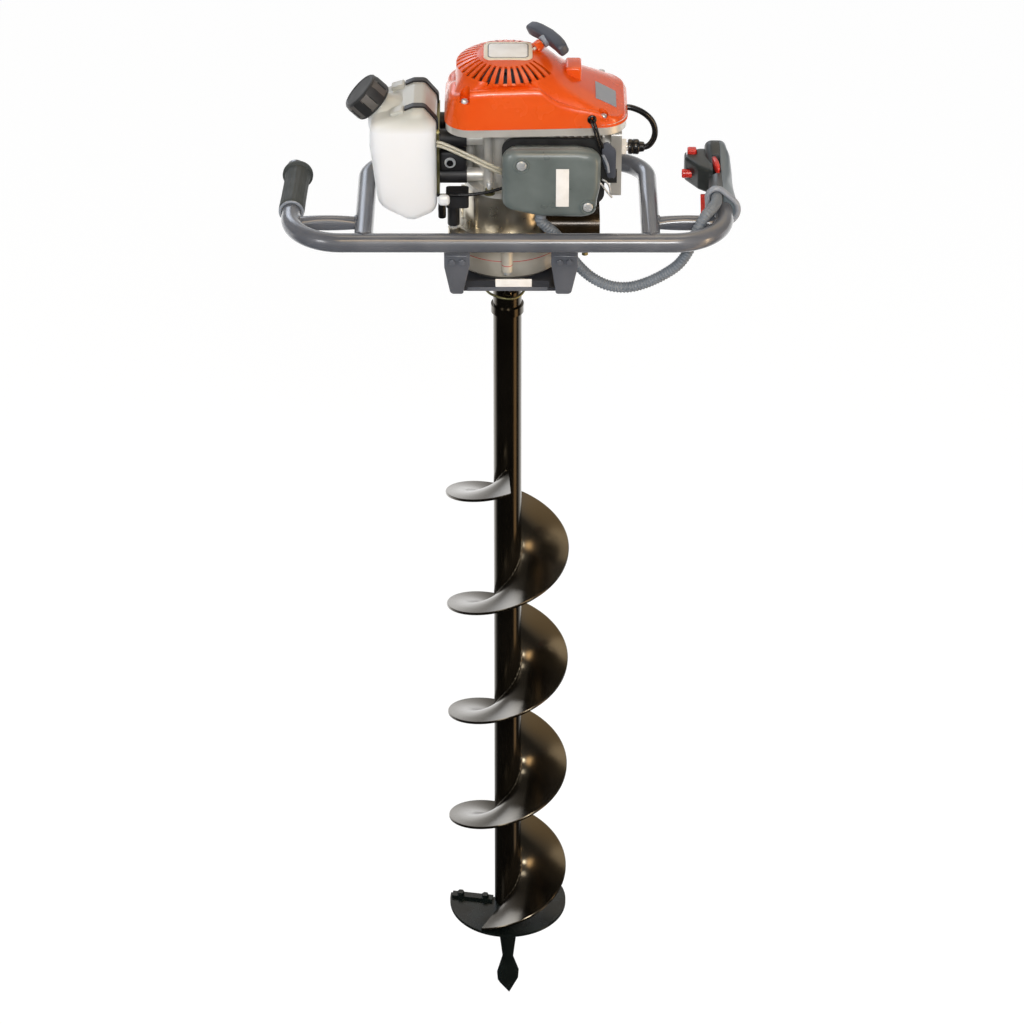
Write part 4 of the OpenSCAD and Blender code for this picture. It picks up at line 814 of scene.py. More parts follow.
topPlate = flatPlate("coverBadgePlate", plateSet["top"], plateSet["topZ"],
                     plateSet["topZ"] + plateSet["topT"], 0.5)
seatPiece(topPlate, "creamEnamel", "frame")
trim = flatPlate("coverBadgeLine", insetOutline(*plateSet["line"]), plateSet["topZ"] + 1,
                 plateSet["topZ"] + plateSet["topT"] + 0.15, 0.1)
seatPiece(trim, "darkPlastic")
panel = flatPlate("coverBadgePanel", insetOutline(*plateSet["panel"]), plateSet["topZ"] + 1,
                  plateSet["topZ"] + plateSet["topT"] + 0.4, 0.2)
seatPiece(panel, "paleEnamel")
slopePlate = {"from": (99.5, -38), "to": (122.5, 1), "t": 0.9, "above": 230}


# Plate laid on the sloping roof: a grid dropped on it, then given thickness
def buildSlopePlate():
    (ax, ay), (bx, by) = slopePlate["from"], slopePlate["to"]
    bpy.ops.object.select_all(action="DESELECT")
    bpy.ops.mesh.primitive_grid_add(x_subdivisions=12, y_subdivisions=18, size=1)
    obj = bpy.context.object
    obj.name = obj.data.name = "slopePlate"
    size = Matrix.Diagonal(((bx - ax) / 1000, (by - ay) / 1000, 1, 1))
    obj.data.transform(Matrix.Translation(Vector(((ax + bx) / 2, (ay + by) / 2,
                                                  slopePlate["above"])) / 1000) @ size)
    modify(obj, "SHRINKWRAP", target=cover, wrap_method="PROJECT", use_project_z=True,
           use_negative_direction=True, use_positive_direction=False)
    modify(obj, "SOLIDIFY", thickness=slopePlate["t"] / 1000, offset=1.0)
    return seatPiece(obj, "cuffPlastic")


buildSlopePlate()
print("cover plates done")

# fuel tank: rounded profile carried front to back, with a cone up to the filler neck
tankSet = {
    "profile": [(-156, 92, 22), (-155, 122, 15), (-118, 134, 16), (-106, 139, 7), (-94, 139, 9),
                (-80, 122, 15), (-80, 11, 16), (-109, -3, 18), (-147, 17, 24)],
    "stations": [(-52, 26), (-51.6, 14), (-50.6, 8), (-49, 4.6), (-46.5, 2), (-43.5, 0.5), (-40, 0),
                 (-20, 0), (0, 0), (20, 0), (34, 0), (38, 0.6), (41.5, 2.4), (44, 5.2), (45.4, 9), (46, 16)],
    "centre": (-118, 72), "half": (38, 67), "neck": (-140, -4, 117), "neckAxis": (-0.719, 0, 0.695),
    "bridgeY": (-35, 31), "bridgeAt": (-123.5, 132.5), "bridgeTilt": -18,
}


# Outline repeated from front to rear, drawn in towards the centre by each station's inset
def stationRings(shape, ring):
    cx, cz = shape["centre"]
    hx, hz = shape["half"]
    return [[(cx + (q.x - cx) * (1 - d / hx), y, cz + (q.y - cz) * (1 - d / hz)) for q in ring]
            for y, d in shape["stations"]]


def buildTank():
    rings = stationRings(tankSet, roundOutline(tankSet["profile"], 8))
    tank = loft("fuelTank", rings)
    neck = turned("fillerNeck", [(0, -30), (31, -30), (30.5, -12), (27, -3), (22.5, 5), (19.4, 10), (18, 14),
                                 (18, 27), (0, 27)],
                  tankSet["neck"], tankSet["neckAxis"], 56)
    keep = block("neckRoom", (-158, -45, 60), (-60, 40, 200), 0)
    combine(neck, keep, "INTERSECT")
    combine(tank, neck, "UNION")
    for i, y in enumerate(tankSet["bridgeY"]):
        ramp = block("strapBridge%d" % i, (-9, -8, -6), (7.5, 8, 3.2), 2.6, 4)
        x, z = tankSet["bridgeAt"]
        tilt = Matrix.Rotation(math.radians(tankSet["bridgeTilt"]), 4, "Y")
        ramp.data.transform(Matrix.Translation((x / 1000, y / 1000, z / 1000)) @ tilt)
        combine(tank, ramp, "UNION")
    soften(tank, 1.0, 2, 50)
    return seatPiece(tank, "milkyPolythene", "frame", ["fuel_tank"], 50)


tank = buildTank()
print("tank done, faces:", len(tank.data.polygons))

# filler cap: barrel of broad flats, every second one sunk
capSet = {"sides": 14, "from": 14.0, "to": 39.0, "sink": 1.3, "inset": 0.9, "padR": 0.0228, "sunkR": 0.0242}


def buildCap():
    n = capSet["sides"] * 2
    rings = []
    a, b = capSet["from"], capSet["to"]
    for r, h in [(19.5, a), (22.6, a), (24.2, a + 1.6), (25, a + 5), (25, b - 7), (24, b - 2.2),
                 (22.4, b - 0.4), (20.5, b), (19.5, b - 0.6), (16, b - 0.6)]:
        rings.append([(r * c, r * s, h) for c, s in circle(n)])
    cap = loft("fillerCap", rings)
    bm = bmesh.new()
    bm.from_mesh(cap.data)
    low, high = (a + 1.0) / 1000, (b - 1.5) / 1000
    pads = []
    for f in bm.faces:
        mid = f.calc_center_median()
        if low < mid.z < high and len(f.verts) == 4 and math.hypot(mid.x, mid.y) > capSet["padR"]:
            lane = int((math.atan2(mid.y, mid.x) % (2 * math.pi)) / (2 * math.pi) * n) // 2
            if lane % 2 == 0:
                pads.append(f)
    bmesh.ops.inset_region(bm, faces=pads, thickness=capSet["inset"] / 1000, depth=-capSet["sink"] / 1000)
    bm.to_mesh(cap.data)
    bm.free()
    outward(cap)
    sunk = []
    for f in cap.data.polygons:
        inner = math.hypot(f.center.x, f.center.y) < capSet["sunkR"]
        if inner and low < f.center.z < high and abs(f.normal.z) < 0.4:
            sunk.append(f.index)
    standOn(cap, tankSet["neck"], tankSet["neckAxis"])
    seatPiece(cap, "capPlastic", "cap", ["fuel_cap"], 28)
    cap.data.materials.append(finishes["capPanel"])
    for i in sunk:
        cap.data.polygons[i].material_index = 1
    return cap


buildCap()
print("filler cap done")

# filter cover: soft box with a lobed screw corner at the lower right
filterSet = {
    "outline": [(-6, 110.5, 15), (-6, 36, 14), (36, 26, 40), (84, 25, 20), (100, 28, 11), (101.5, 46, 14),
                (105, 62, 16), (105.5, 106, 15), (80, 110.5, 40)],
    "stations": [(-63, 7), (-64, 6), (-72, 2.5), (-80, 0), (-84.5, 0.5), (-88, 1.8), (-90.6, 3.9),
                 (-92.2, 6.6), (-93, 10), (-93, 22)],
    "centre": (52, 70.5), "half": (58, 41), "screws": [(16, 93.5), (91, 41.5)], "face": -92.6,
}


def buildFilterCover():
    rings = stationRings(filterSet, roundOutline(filterSet["outline"], 8))
    shell = loft("filterCover", rings)
    rims = []
    for i, (x, z) in enumerate(filterSet["screws"]):
        rims.append(turned("screwRim%d" % i, [(5.8, -4), (9.2, -4), (9.0, 1.2), (8.2, 2.2), (7.2, 2.2),
                                              (6.4, 1.0), (5.8, -4)], (x, filterSet["face"], z),
                           (0, -1, 0), 40))
    joinAll(shell, rims)
    return seatPiece(shell, "greyNylon", "frame", ["filter_cover"], 40)


buildFilterCover()


# Screw head with a cut slot, turned by some degrees
def slottedScrew(name, at, axis, headR, headH, turn):
    head = turned(name, [(0, -4), (headR, -4), (headR, headH * 0.6), (headR * 0.8, headH),
                         (0, headH * 1.08)], steps=36)
    slot = block(name + "Slot", (-headR * 1.2, -headR * 0.15, headH * 0.35),
                 (headR * 1.2, headR * 0.15, headH * 2), 0)
    slot.data.transform(Matrix.Rotation(math.radians(turn), 4, "Z"))
    combine(head, slot)
    return standOn(head, at, axis)


highScrew, lowScrew = [(x, filterSet["face"], z) for x, z in filterSet["screws"]]
filterScrews = joinAll(slottedScrew("filterScrews", highScrew, (0, -1, 0), 5.6, 2.6, 35),
                       [slottedScrew("filterScrewLow", lowScrew, (0, -1, 0), 5.6, 2.6, -30)])
seatPiece(filterScrews, "zincPlate", "frame", ["filter_screws"])
# cover screws, each on the floor of its pocket
coverHeads = []
for i, (x, y, z, run) in enumerate(coverSet["pockets"]):
    shank = turned("coverShank%d" % i, [(0, 120.4), (1.6, 120.4), (2.0, 121), (2.0, z + 0.4), (0, z + 0.4)],
                   (x, y, 0), (0, 0, 1), 20)
    coverHeads += [slottedScrew("coverHead%d" % i, (x, y, z), (0, 0, 1), 4.0, 3.4, 25 + 50 * i), shank]
coverScrews = joinAll(coverHeads[0], coverHeads[1:])
coverScrews.name = "coverScrews"
seatPiece(coverScrews, "zincPlate", "frame", ["cover_screws"])
label = block("filterLabelPlate", (54.8, -93.5, 42), (69.4, -92.6, 89.3), 0.35, 2)
seatPiece(label, "paleEnamel")
print("filter cover done")

# flight: a plate of even thickness wound up the tube, with a bead of weld on its inner edge
flightSet = {"r": 75.0, "inner": 16.6, "t": 4.0, "low": -1021.0, "start": 243.0, "pitch": 163.0,
             "turns": 4.08, "perTurn": 96, "weldR": 17.2}


def buildFlight():
    k = flightSet
    columns = [k["inner"], 19, 22, 26, 31, 37, 45, 55, 65, k["r"] - 0.7]
    rim = [(k["r"], k["t"] - 0.8), (k["r"], 0.9)]
    shape = [(r, k["t"]) for r in columns] + rim + [(r, 0.2) for r in reversed(columns)]
    rings, bead = [], []
    count = round(k["turns"] * k["perTurn"])
    for i in range(count + 1):
        a = math.radians(k["start"] + 360 * i / k["perTurn"])
        z = k["low"] + k["pitch"] * i / k["perTurn"]
        rings.append([(r * math.cos(a), r * math.sin(a), z + h) for r, h in shape])
        bead.append(Vector((k["weldR"] * math.cos(a), k["weldR"] * math.sin(a), z + k["t"] + 0.4)))
    flight = loft("augerFlight", rings)
    seatPiece(flight, "bitEnamel", "bit", ["auger_flight"], 35)
    weld = sweepTube("flightWeld", bead[2:-2], lambda i: 1.5 + 0.25 * math.sin(i * 1.9), 8,
                     "bitEnamel", "bit")


buildFlight()
print("flight done")


# Ring of tube along a closed route
def closedTube(name, route, radiusOf, sides, finish, body):
    count = len(route)
    mid = sum(route, Vector()) / count
    verts, faces = [], []
    for i, at in enumerate(route):
        ahead = (route[(i + 1) % count] - route[i - 1]).normalized()
        out = at - mid
        out = (out - out.dot(ahead) * ahead).normalized()
        other = ahead.cross(out)
        r = radiusOf(i)
        verts += [at + r * (c * out + s * other) for c, s in circle(sides)]
    for i in range(count):
        j = (i + 1) % count
        faces += [(i * sides + k, i * sides + (k + 1) % sides, j * sides + (k + 1) % sides, j * sides + k)
                  for k in range(sides)]
    obj = meshPiece(name, verts, faces)
    outward(obj)
    return seatPiece(obj, finish, body, angle=60)


# throttle handle: oval sections carried along the grip, split where the moulding is
handleSet = {
    "x": 248.0,
    "sections": [(-22, (0, 0, 17.5), (-8, 17, 10.5), (-8, 17, 10.5)),
                 (2, (0, 0, 16), (-4, 10, 12), (-4, 10, 12)),
                 (24, (0, -1, 14.6), (-2, 8.5, 12), (-2, 8.5, 12)),
                 (45, (0, -2, 14.2), (-2, 8, 12.2), (0, 8, 12.4)),
                 (62, (-1, -1, 15.4), (-5, 13, 10.6), (1, 13, 11)),
                 (76, (-2, 0, 16.4), (-7, 17, 10), (1, 17, 11)),
                 (88, (-3, 3, 15.4), (-8, 21, 8.6), (0, 21, 9)),
                 (95, (-4, 4, 13.5), (-8.5, 22, 8.5), (-0.5, 22, 8.5)),
                 (98.4, (-4, 5, 11), (-8.5, 22, 6.4), (-0.5, 22, 6.4)),
                 (99.4, (-4, 7, 7), (-7, 21, 4.4), (-2, 21, 4.4))],
    "pod": [(-6, 30, 8), (-14, 40, 8), (-26, 50, 10), (-41, 74, 9), (-41, 91, 9), (-22, 98, 8), (0, 96, 6),
            (4, 34, 6)],
    "podZ": (-12, 20), "ringStep": 7.3, "split": 0.12,
}


# Ring round several circles, each (dx, z, r)
def ovalRing(y, circles, count=48):
    ring = []
    for c, s in circle(count):
        x, z, r = max(circles, key=lambda d: d[0] * c + d[1] * s + d[2])
        ring.append((handleSet["x"] + x + r * c, y, z + r * s))
    return ring


# Sections between the given ones, each size eased from one to the next
def handleRings():
    rows = [[y] + [v for c in rest for v in c] for y, *rest in handleSet["sections"]]
    rows = [rows[0]] + rows + [rows[-1]]
    rings = []
    for a, b, c, d in zip(rows, rows[1:], rows[2:], rows[3:]):
        steps = max(1, round((c[0] - b[0]) / handleSet["ringStep"]))
        for k in range(steps):
            t = k / steps
            row = [0.5 * (2 * q + (r - p) * t + (2 * p - 5 * q + 4 * r - w) * t * t
                          + (3 * q - p - 3 * r + w) * t ** 3)
                   for p, q, r, w in zip(a, b, c, d)]
            row[0] = b[0] + (c[0] - b[0]) * t
            rings.append(ovalRing(row[0], [row[1:4], row[4:7], row[7:10]]))
    rings.append(ovalRing(rows[-1][0], [rows[-1][1:4], rows[-1][4:7], rows[-1][7:10]]))
    return rings


def handleSolid(name):
    body = loft(name, handleRings())
    ring = roundOutline([(handleSet["x"] + a, b, r) for a, b, r in handleSet["pod"]])
    low, high = handleSet["podZ"]
    pod = loft(name + "Pod", [[(q.x, q.y, z) for q in ring] for z in (low, high)])
    soften(pod, 5.0, 4, 50)
    combine(body, pod, "UNION")
    x = handleSet["x"]
    hollows = [turned(name + "Bore", [(0, 0), (11.0, 0), (11.0, 30), (0, 30)], (x, -24, 0), (0, 1, 0), 40),
               turned(name + "Conduit", [(0, 0), (6.6, 0), (6.6, 20), (0, 20)], (x - 8, -24, 17),
                      (0, 1, 0), 32),
               block(name + "TriggerSlot", (x - 4.8, 6, -40), (x + 4.8, 64, 2), 0),
               block(name + "LockSlot", (x - 9.4, 33, 9), (x - 0.6, 69, 46), 0),
               block(name + "RockerWell", (x - 38.4, 79.6, 9.5), (x - 25.6, 92.4, 40), 0),
               turned(name + "ButtonBore", [(0, 0), (5.6, 0), (5.6, 16), (0, 16)], (x - 44, 66, 2),
                      (1, 0, 0), 32)]
    for tool in hollows:
        combine(body, tool)
    return body


def handleHalf(name, side, finish, node):
    half = handleSolid(name)
    x = handleSet["x"]
    gap = handleSet["split"]
    low, high = (x - 80, x - gap) if side < 0 else (x + gap, x + 80)
    keep = block(name + "Side", (low, -60, -80), (high, 160, 90), 0)
    combine(half, keep, "INTERSECT")
    soften(half, 0.5, 2, 40)
    return seatPiece(half, finish, "frame", [node], 40)


# inner half in the darker copy (painted shade), outer half in the lighter copy (painted light)
handleHalf("throttleShellLeft", -1, "handlePlastic", "throttle_housing")
handleHalf("throttleShellRight", 1, "litSideHandle", "throttle_cover")
cuffRing = [Vector(q) for q in ovalRing(-21, [(0, 0, 17.2), (-8, 17, 10.2)], 56)]
closedTube("cuffRing", cuffRing, lambda i: 3.4, 12, "cuffPlastic", "frame")
rocker = block("stopRocker", (210.7, 80.7, 10.6), (221.3, 91.3, 24.6), 1.6, 3)
seatPiece(rocker, "redPlastic", "switch", ["stop_switch"])
button = turned("halfThrottleCap", [(0, 0), (5.0, 0), (5.0, 7.4), (5.4, 7.8), (5.4, 10.6), (4.6, 11.6),
                                    (0, 12)], (215.4, 66, 2), (-1, 0, 0), 32)
seatPiece(button, "redPlastic", "button", ["half_throttle_button"])
# trigger pad and the lever of the trigger lock
levers = {"pad": [(36, -9, 1), (31, -8, 1), (22, -14, 2), (11, -24, 1), (13, -28.5, 2), (24, -21, 3),
                  (35, -14, 2)],
          "padX": (224.5, 251),
          "lock": [(0, 3.4, 1.6), (0.12, 5.4, 4.6), (0.5, 5.6, 5.4), (0.85, 4.8, 4.6), (0.97, 3.2, 2.4),
                   (1, 2, 1.2)],
          "lockFrom": (240.4, 66, 21.5), "lockTo": (245, 36, 21.6)}
padRing = roundOutline(levers["pad"], 4)
pad = loft("triggerPad", [[(x, q.x, q.y) for q in padRing] for x in levers["padX"]])
soften(pad, 0.8, 2, 50)
seatPiece(pad, "redPlastic", "trigger")
lockRings = []
for t, wide, high in levers["lock"]:
    at = Vector(levers["lockFrom"]).lerp(Vector(levers["lockTo"]), t)
    ring = roundOutline([(-wide / 2, -6, 0.4), (wide / 2, -6, 0.4), (wide / 2, high, wide * 0.35),
                         (-wide / 2, high, wide * 0.35)], 4)
    lockRings.append([(at.x + q.x, at.y, at.z + q.y) for q in ring])
seatPiece(loft("lockLever", lockRings), "redPlastic", "lock", ["trigger_lock"], 45)
print("throttle handle done")

# starter rope and handle on the pull line
pullSet = {"from": (37, 9, 194.5), "turn": 32.0, "rise": 25.0, "rope": 4.0}
pullTurn = Matrix.Rotation(math.radians(pullSet["turn"]), 4, "Z")
pullRise = Matrix.Rotation(math.radians(90 - pullSet["rise"]), 4, "Y")
pullPlace = Matrix.Translation(Vector(pullSet["from"]) / 1000) @ (pullTurn @ pullRise)


def onPullLine(points):
    return [pullPlace @ (Vector(q) / 1000) * 1000 for q in points]


ropeLine = onPullLine([(0, 0, -18 + 35 * k / 28) for k in range(29)])
rope = sweepTube("starterRope", ropeLine, lambda i: pullSet["rope"] / 2 - 0.12 * (i % 2), 12,
                 "braidedRope", None)
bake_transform(rope)
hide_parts("starter_rope")


def buildPullHandle():
    rings = []
    for y, wide, deep in [(-36, 8, 7), (-35.4, 11.5, 10), (-33.5, 14, 12), (-28, 15.6, 13.2),
                          (-18, 16, 13.6), (0, 16, 14), (18, 16, 13.6), (28, 15.6, 13.2),
                          (33.5, 14, 12), (35.4, 11.5, 10), (36, 8, 7)]:
        drop = 4.5 * (y / 38) ** 2
        half = roundOutline([(-wide / 2, -deep / 2, 3), (wide / 2, -deep / 2, 3), (wide / 2, deep / 2, 3.4),
                             (-wide / 2, deep / 2, 3.4)], 5)
        rings.append(onPullLine([(q.x, y, 14.6 - drop + q.y) for q in half]))
    bar = loft("pullHandle", rings)
    stem = turned("pullStem", [(2.2, 3.2), (6.4, 3.2), (7.2, 4.2), (7.0, 6), (7.6, 10), (2.2, 10),
                               (2.2, 3.2)], steps=32)
    stem.data.transform(pullPlace)
    seatPiece(stem, "cuffPlastic", "pull")
    return seatPiece(bar, "darkPlastic", "pull", ["starter_handle"], 45)


buildPullHandle()
guide = turned("ropeGuide", [(2.6, -7), (6.6, -7), (6.4, 0.6), (5.6, 1.8), (3.6, 1.8), (2.6, 1.0),
                             (2.6, -7)], steps=40)
guide.data.transform(pullPlace)
seatPiece(guide, "orangeAbs", "frame")
print("rope and pull handle done")

# ignition lead, plug cap, hoses and stop wires
leadRoute = [(120, -8, 124), (130, -8, 124), (140, -8, 124), (153, -7, 118), (163, -5, 108),
             (168, -3, 96), (168, -1, 84), (164, 0, 74.5), (159, 0, 70.5), (152, 0, 70.5)]
leadLine, leadLength = smoothRoute(leadRoute, 3.0)
lead = sweepTube("ignitionLead", leadLine, lambda i: 3.5, 20, "glossRubber", "frame")
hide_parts("ignition_lead")
boot = turned("plugCap", [(0, 138), (7.6, 138), (8.8, 139.2), (8.8, 142), (8.1, 143), (8.8, 144), (8.8, 149),
                          (8.0, 150.4), (6.2, 151.4), (5.6, 156), (4.2, 157), (0, 157)],
              (0, 0, 70.5), (1, 0, 0), 40)
seatPiece(boot, "glossRubber", "frame")
hoseRoutes = [
    ("clearHoseLow", [(-80, -48, 96), (-72, -48, 94), (-58, -49.5, 88), (-40, -52, 80), (-22, -54, 71.5),
                      (-6, -54, 64), (8, -53, 61), (26, -51, 60), (44, -50, 60), (55, -50, 60)], "fuelHose"),
    ("clearHoseHigh", [(-80, -48, 100.6), (-72, -48, 98.6), (-58, -49.5, 92.6), (-40, -52, 84.6),
                       (-22, -54, 76.1), (-6, -54, 68.6), (8, -53, 66), (26, -51, 66), (44, -50, 67),
                       (55, -50, 67)], "fuelHose"),
    ("returnHose", [(-80, -46, 32), (-70, -46, 32), (-56, -48, 33), (-40, -52, 36), (-20, -55, 41),
                    (0, -54, 47), (24, -52, 52), (44, -50, 53), (55, -50, 53)], "glossRubber"),
]
for name, points, finish in hoseRoutes:
    hose = sweepTube(name, smoothRoute(points, 3.0)[0], lambda i: 1.85, 14, finish, "frame")
    if name == hoseRoutes[0][0]:
        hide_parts("fuel_hoses")
wireRoute = [(95, -62, 137), (96, -68.5, 135.5), (99, -73, 128), (102, -73.5, 118), (105, -71, 108),
             (107.6, -66, 98), (108, -60, 92)]
for i, shift in enumerate((-1.6, 1.6)):
    line = smoothRoute([(x + shift, y, z) for x, y, z in wireRoute], 2.0)[0]
    sweepTube("stopWire%d" % i, line, lambda i: 1.45, 10, "glossRubber", "frame")
grommet = turned("wireGrommet", [(2.4, -3), (4.4, -3), (5.4, 0.2), (5.2, 1.6), (4.2, 2.2), (3.0, 1.8),
                                 (2.4, 0.4), (2.4, -3)], (95, -64.4, 137), (0.05, -1, 0), 36)
seatPiece(grommet, "glossRubber")
print("leads and hoses done, lead mm:", round(leadLength))

# weld beads where the tubes meet
beadSet = {"tube": 11.0, "sideX": 163.0, "barY": -101.0, "braceY": -53.0, "gripX": 248.0,
           "inset": 9.6, "braceR": 7.4}


# Bead round the end of a side tube, which saddles the bar
def saddleBead(name, x0):
    r = beadSet["tube"]
    route = [Vector((x0 + r * c, beadSet["barY"] + abs(r * c) * 0.98 + 0.5, r * s)) for c, s in circle(44)]
    return closedTube(name, route, lambda i: 1.9 + 0.5 * math.sin(i * 2.4), 8, "frameEnamel", "frame")


def braceBead(name, x0, r):
    route = [Vector((x0, beadSet["braceY"] + r * c, r * s)) for c, s in circle(30)]
    return closedTube(name, route, lambda i: 1.8 + 0.55 * math.sin(i * 2.2), 8, "frameEnamel", "frame")


for side in (-1, 1):
    tag = "L" if side < 0 else "R"
    saddleBead("sideWeld" + tag, side * beadSet["sideX"])
    braceBead("braceWeldIn" + tag, side * (beadSet["sideX"] + beadSet["inset"]), beadSet["braceR"])
    braceBead("braceWeldOut" + tag, side * (beadSet["gripX"] - beadSet["inset"]), beadSet["braceR"])
print("welds done")

# braces: tube pinched at both ends
for side in (-1, 1):
    rings = []
    for k in range(25):
        u = k / 24
        belly = math.sin(math.pi * u) ** 0.8
        x = side * (beadSet["sideX"] + 5 + (beadSet["gripX"] - beadSet["sideX"] - 10) * u)
        wide, high = 9.4 - 1.6 * belly, 6.2 + 2.9 * belly
        rings.append([(x, beadSet["braceY"] + wide * c, high * s) for c, s in circle(28)])
    brace = loft("gripBrace" + ("L" if side < 0 else "R"), rings)
    seatPiece(brace, "frameEnamel", "frame", ["grip_braces"] if side < 0 else ())
print("braces done")

# left grip: rubber sleeve with a flange at the far end and a thin pale ring at the near one, a painted edge
# highlight
gripSet = {"x": -248.0, "near": -27.0, "flutes": 18,
           "shape": [(11.2, 0), (13.6, 0), (14.6, 1.2), (15, 8), (14.6, 30), (14.4, 60), (14.6, 86),
                     (15.2, 89.5), (16.8, 90.6), (17.8, 91.6), (17.8, 94.6), (17.4, 95.8), (16.2, 96.6)],
           "lean": 0.034}


def buildGrip():
    rings = []
    n = gripSet["flutes"] * 4
    for i, (r, h) in enumerate(gripSet["shape"]):
        deep = 0.45 if 3 <= i <= 6 else 0.0
        x, y = gripSet["x"] + gripSet["lean"] * h, gripSet["near"] + h
        reach = [r - deep * (k % 4 == 0) for k in range(n)]
        rings.append([(x + q * c, y, q * s) for q, (c, s) in zip(reach, circle(n))])
    grip = loft("leftGrip", rings)
    seatPiece(grip, "gripRubber", "frame", ["left_grip"], 40)
    # pale ring standing for the light caught by the grip's near edge (painted highlight)
    rim = turned("gripHighlightRing", [(11.6, 0), (13.2, -0.6), (14.2, -0.2), (14.6, 0.9), (13.6, 1.2), (11.6, 1.0),
                             (11.6, 0)], (gripSet["x"], gripSet["near"], 0), (0, 1, 0), 48)
    seatPiece(rim, "cuffPlastic")


buildGrip()
print("left grip done")

# hangers: folded plates that taper to the tray, each with a flange to the rear on its inner edge
hangSet = {"left": [(-72, -6, 4), (-42.5, -6, 4), (-42.5, -30, 10), (-50.5, -73, 3), (-65, -73, 5),
                    (-72, -38, 12)],
           "right": [(50, -6, 4), (80.5, -6, 4), (80.5, -38, 12), (73, -73, 5), (55.6, -73, 3),
                     (50, -30, 10)],
           "t": 2.6, "deep": 34, "y": -89.0}


def buildHanger(name, outline, inner):
    y = hangSet["y"]
    ring = roundOutline(outline)
    plate = loft(name, [[(q.x, y + d, q.y) for q in ring] for d in (0, hangSet["t"])])
    side = 1 if inner else -1
    (ax, az), (bx, bz) = [(q[0], q[1]) for q in (outline[2:4] if inner else (outline[5], outline[4]))]
    near, far, thick = y + 0.4, y + hangSet["deep"], side * 2.4
    wing = loft(name + "Wing", [[(x - thick, near, z), (x, near, z), (x, far, z), (x - thick, far, z)]
                                for x, z in ((ax, az + 14), (ax, az - 4), (bx, bz + 1))])
    fold = block(name + "Fold", (outline[0][0] + 2, y - 1.4, -25.4), (outline[1][0] - 2, y + 1, -22.2), 1.3)
    soften(plate, 0.9, 3, 50)
    joinAll(plate, [wing, fold])
    return seatPiece(plate, "frameEnamel", "frame", ["hangers"] if inner else ())


buildHanger("hangerLeft", hangSet["left"], True)
buildHanger("hangerRight", hangSet["right"], False)
hexHead("barBolt", (88, -101, -10.8), (0, 0, -1), 7.0, 4.0, 0, "oliveZinc")
print("hangers done")

# hitch pin and its wire clip round the tube
clipSet = {"z": -111.0, "r": 23.5, "wire": 1.5, "dip": 4.5}
pin = turned("hitchPin", [(0, -20.5), (4.4, -20.5), (5.2, -19.8), (5.2, -18), (4, -17), (4, 19), (3.2, 20),
                          (0, 20)], (0, 0, -113), (0, 1, 0), 32)
seatPiece(pin, "bitEnamel", "bit", ["hitch_pin"])
clipLine = []
for k, (c, s) in enumerate(circle(60)):
    wave = 1.2 * math.cos(6 * math.pi * k / 60)
    clipLine.append(Vector((clipSet["r"] * c - 2, clipSet["r"] * s,
                            clipSet["z"] + clipSet["dip"] * s + wave)))
closedTube("clipWire", clipLine, lambda i: clipSet["wire"], 10, "oliveZinc", "bit")
print("pin and clip done")

# choke panel on the carburettor, with its strip and link rods
chokeSet = {"outline": [(106.6, 108, 3), (112.4, 112, 4), (122.6, 101, 5), (122.6, 66, 3), (113.6, 66, 3),
                        (109.5, 80, 6), (106.6, 90, 3)], "y": (-70.6, -67.4)}
ring = roundOutline(chokeSet["outline"])
panel = loft("chokePanel", [[(q.x, y, q.y) for q in ring] for y in chokeSet["y"]])
soften(panel, 0.9, 3, 50)
seatPiece(panel, "darkPlastic", "choke", ["choke_lever"])
sweepTube("chokeStrip", smoothRoute([(107.4, -70.8, 96), (110.4, -71.2, 90), (113, -71.2, 83),
                                     (114.4, -71, 74)], 2.0)[0], lambda i: 1.7, 12, "cuffPlastic", "choke")
linkRoutes = [[(104.8, -70, 60.5), (109, -70.5, 55), (114, -70.5, 47.5), (118.6, -70, 41.7)],
              [(107, -67, 63), (112, -67.5, 60), (115.6, -67.5, 54), (117, -67, 45)]]
for i, points in enumerate(linkRoutes):
    sweepTube("linkRod%d" % i, smoothRoute(points, 2.0)[0], lambda i: 1.15, 10, "zincPlate", "frame")
print("choke panel done")

# small parts round the tank mount and the cradle
mountSet = {"screw": (-65, -36.9, 69.0), "column": (-20.5, -45.5), "columnTop": 34.0,
            "hangerBoltX": (-63, -51.5, 60, 71)}
mountBlock = block("mountRubber", (-76.6, -37, 57.5), (-46.5, -12, 81.5), 3.0, 3)
seatPiece(mountBlock, "blackRubber")
washer = turned("mountWasher", [(2.6, 0), (6.2, 0), (6.4, 0.4), (6.4, 1.4), (5.8, 2.0), (4.6, 2.0),
                                (4.0, 1.2), (2.6, 1.2), (2.6, 0)], mountSet["screw"], (0, -1, 0), 40)
seatPiece(washer, "zincPlate")
core = turned("mountSocket", [(0, -1), (3.6, -1), (3.6, 2.8), (2.4, 2.8), (2.0, 0.6), (0, 0.6)],
              mountSet["screw"], (0, -1, 0), 24)
seatPiece(core, "glossRubber")
elbow = block("outletElbow", (-78.5, -53, 20.5), (-65.5, -42.5, 33.5), 4.2, 4)
seatPiece(elbow, "milkyPolythene")
stub = turned("outletStub", [(0, 4), (4.2, 4), (4.6, 5), (4.6, 15), (4.2, 21), (0, 21)], (-74.5, -46, 0),
              (0, 0, 1), 32)
seatPiece(stub, "glossRubber")
hexHead("columnNut", (*mountSet["column"], mountSet["columnTop"]), (0, 0, 1), 9.0, 6.0, 13.0, "oliveZinc")
stud = turned("columnStud", [(0, 38), (2.6, 38), (2.6, 46.5), (2.0, 47.4), (0, 47.4)],
              (*mountSet["column"], 0), (0, 0, 1), 24)
seatPiece(stud, "zincPlate")
seam = turned("upperGasketLine", [(65.2, -28.4), (66.45, -28.4), (66.45, -27.6), (65.2, -27.6),
                                  (65.2, -28.4)], steps=120)
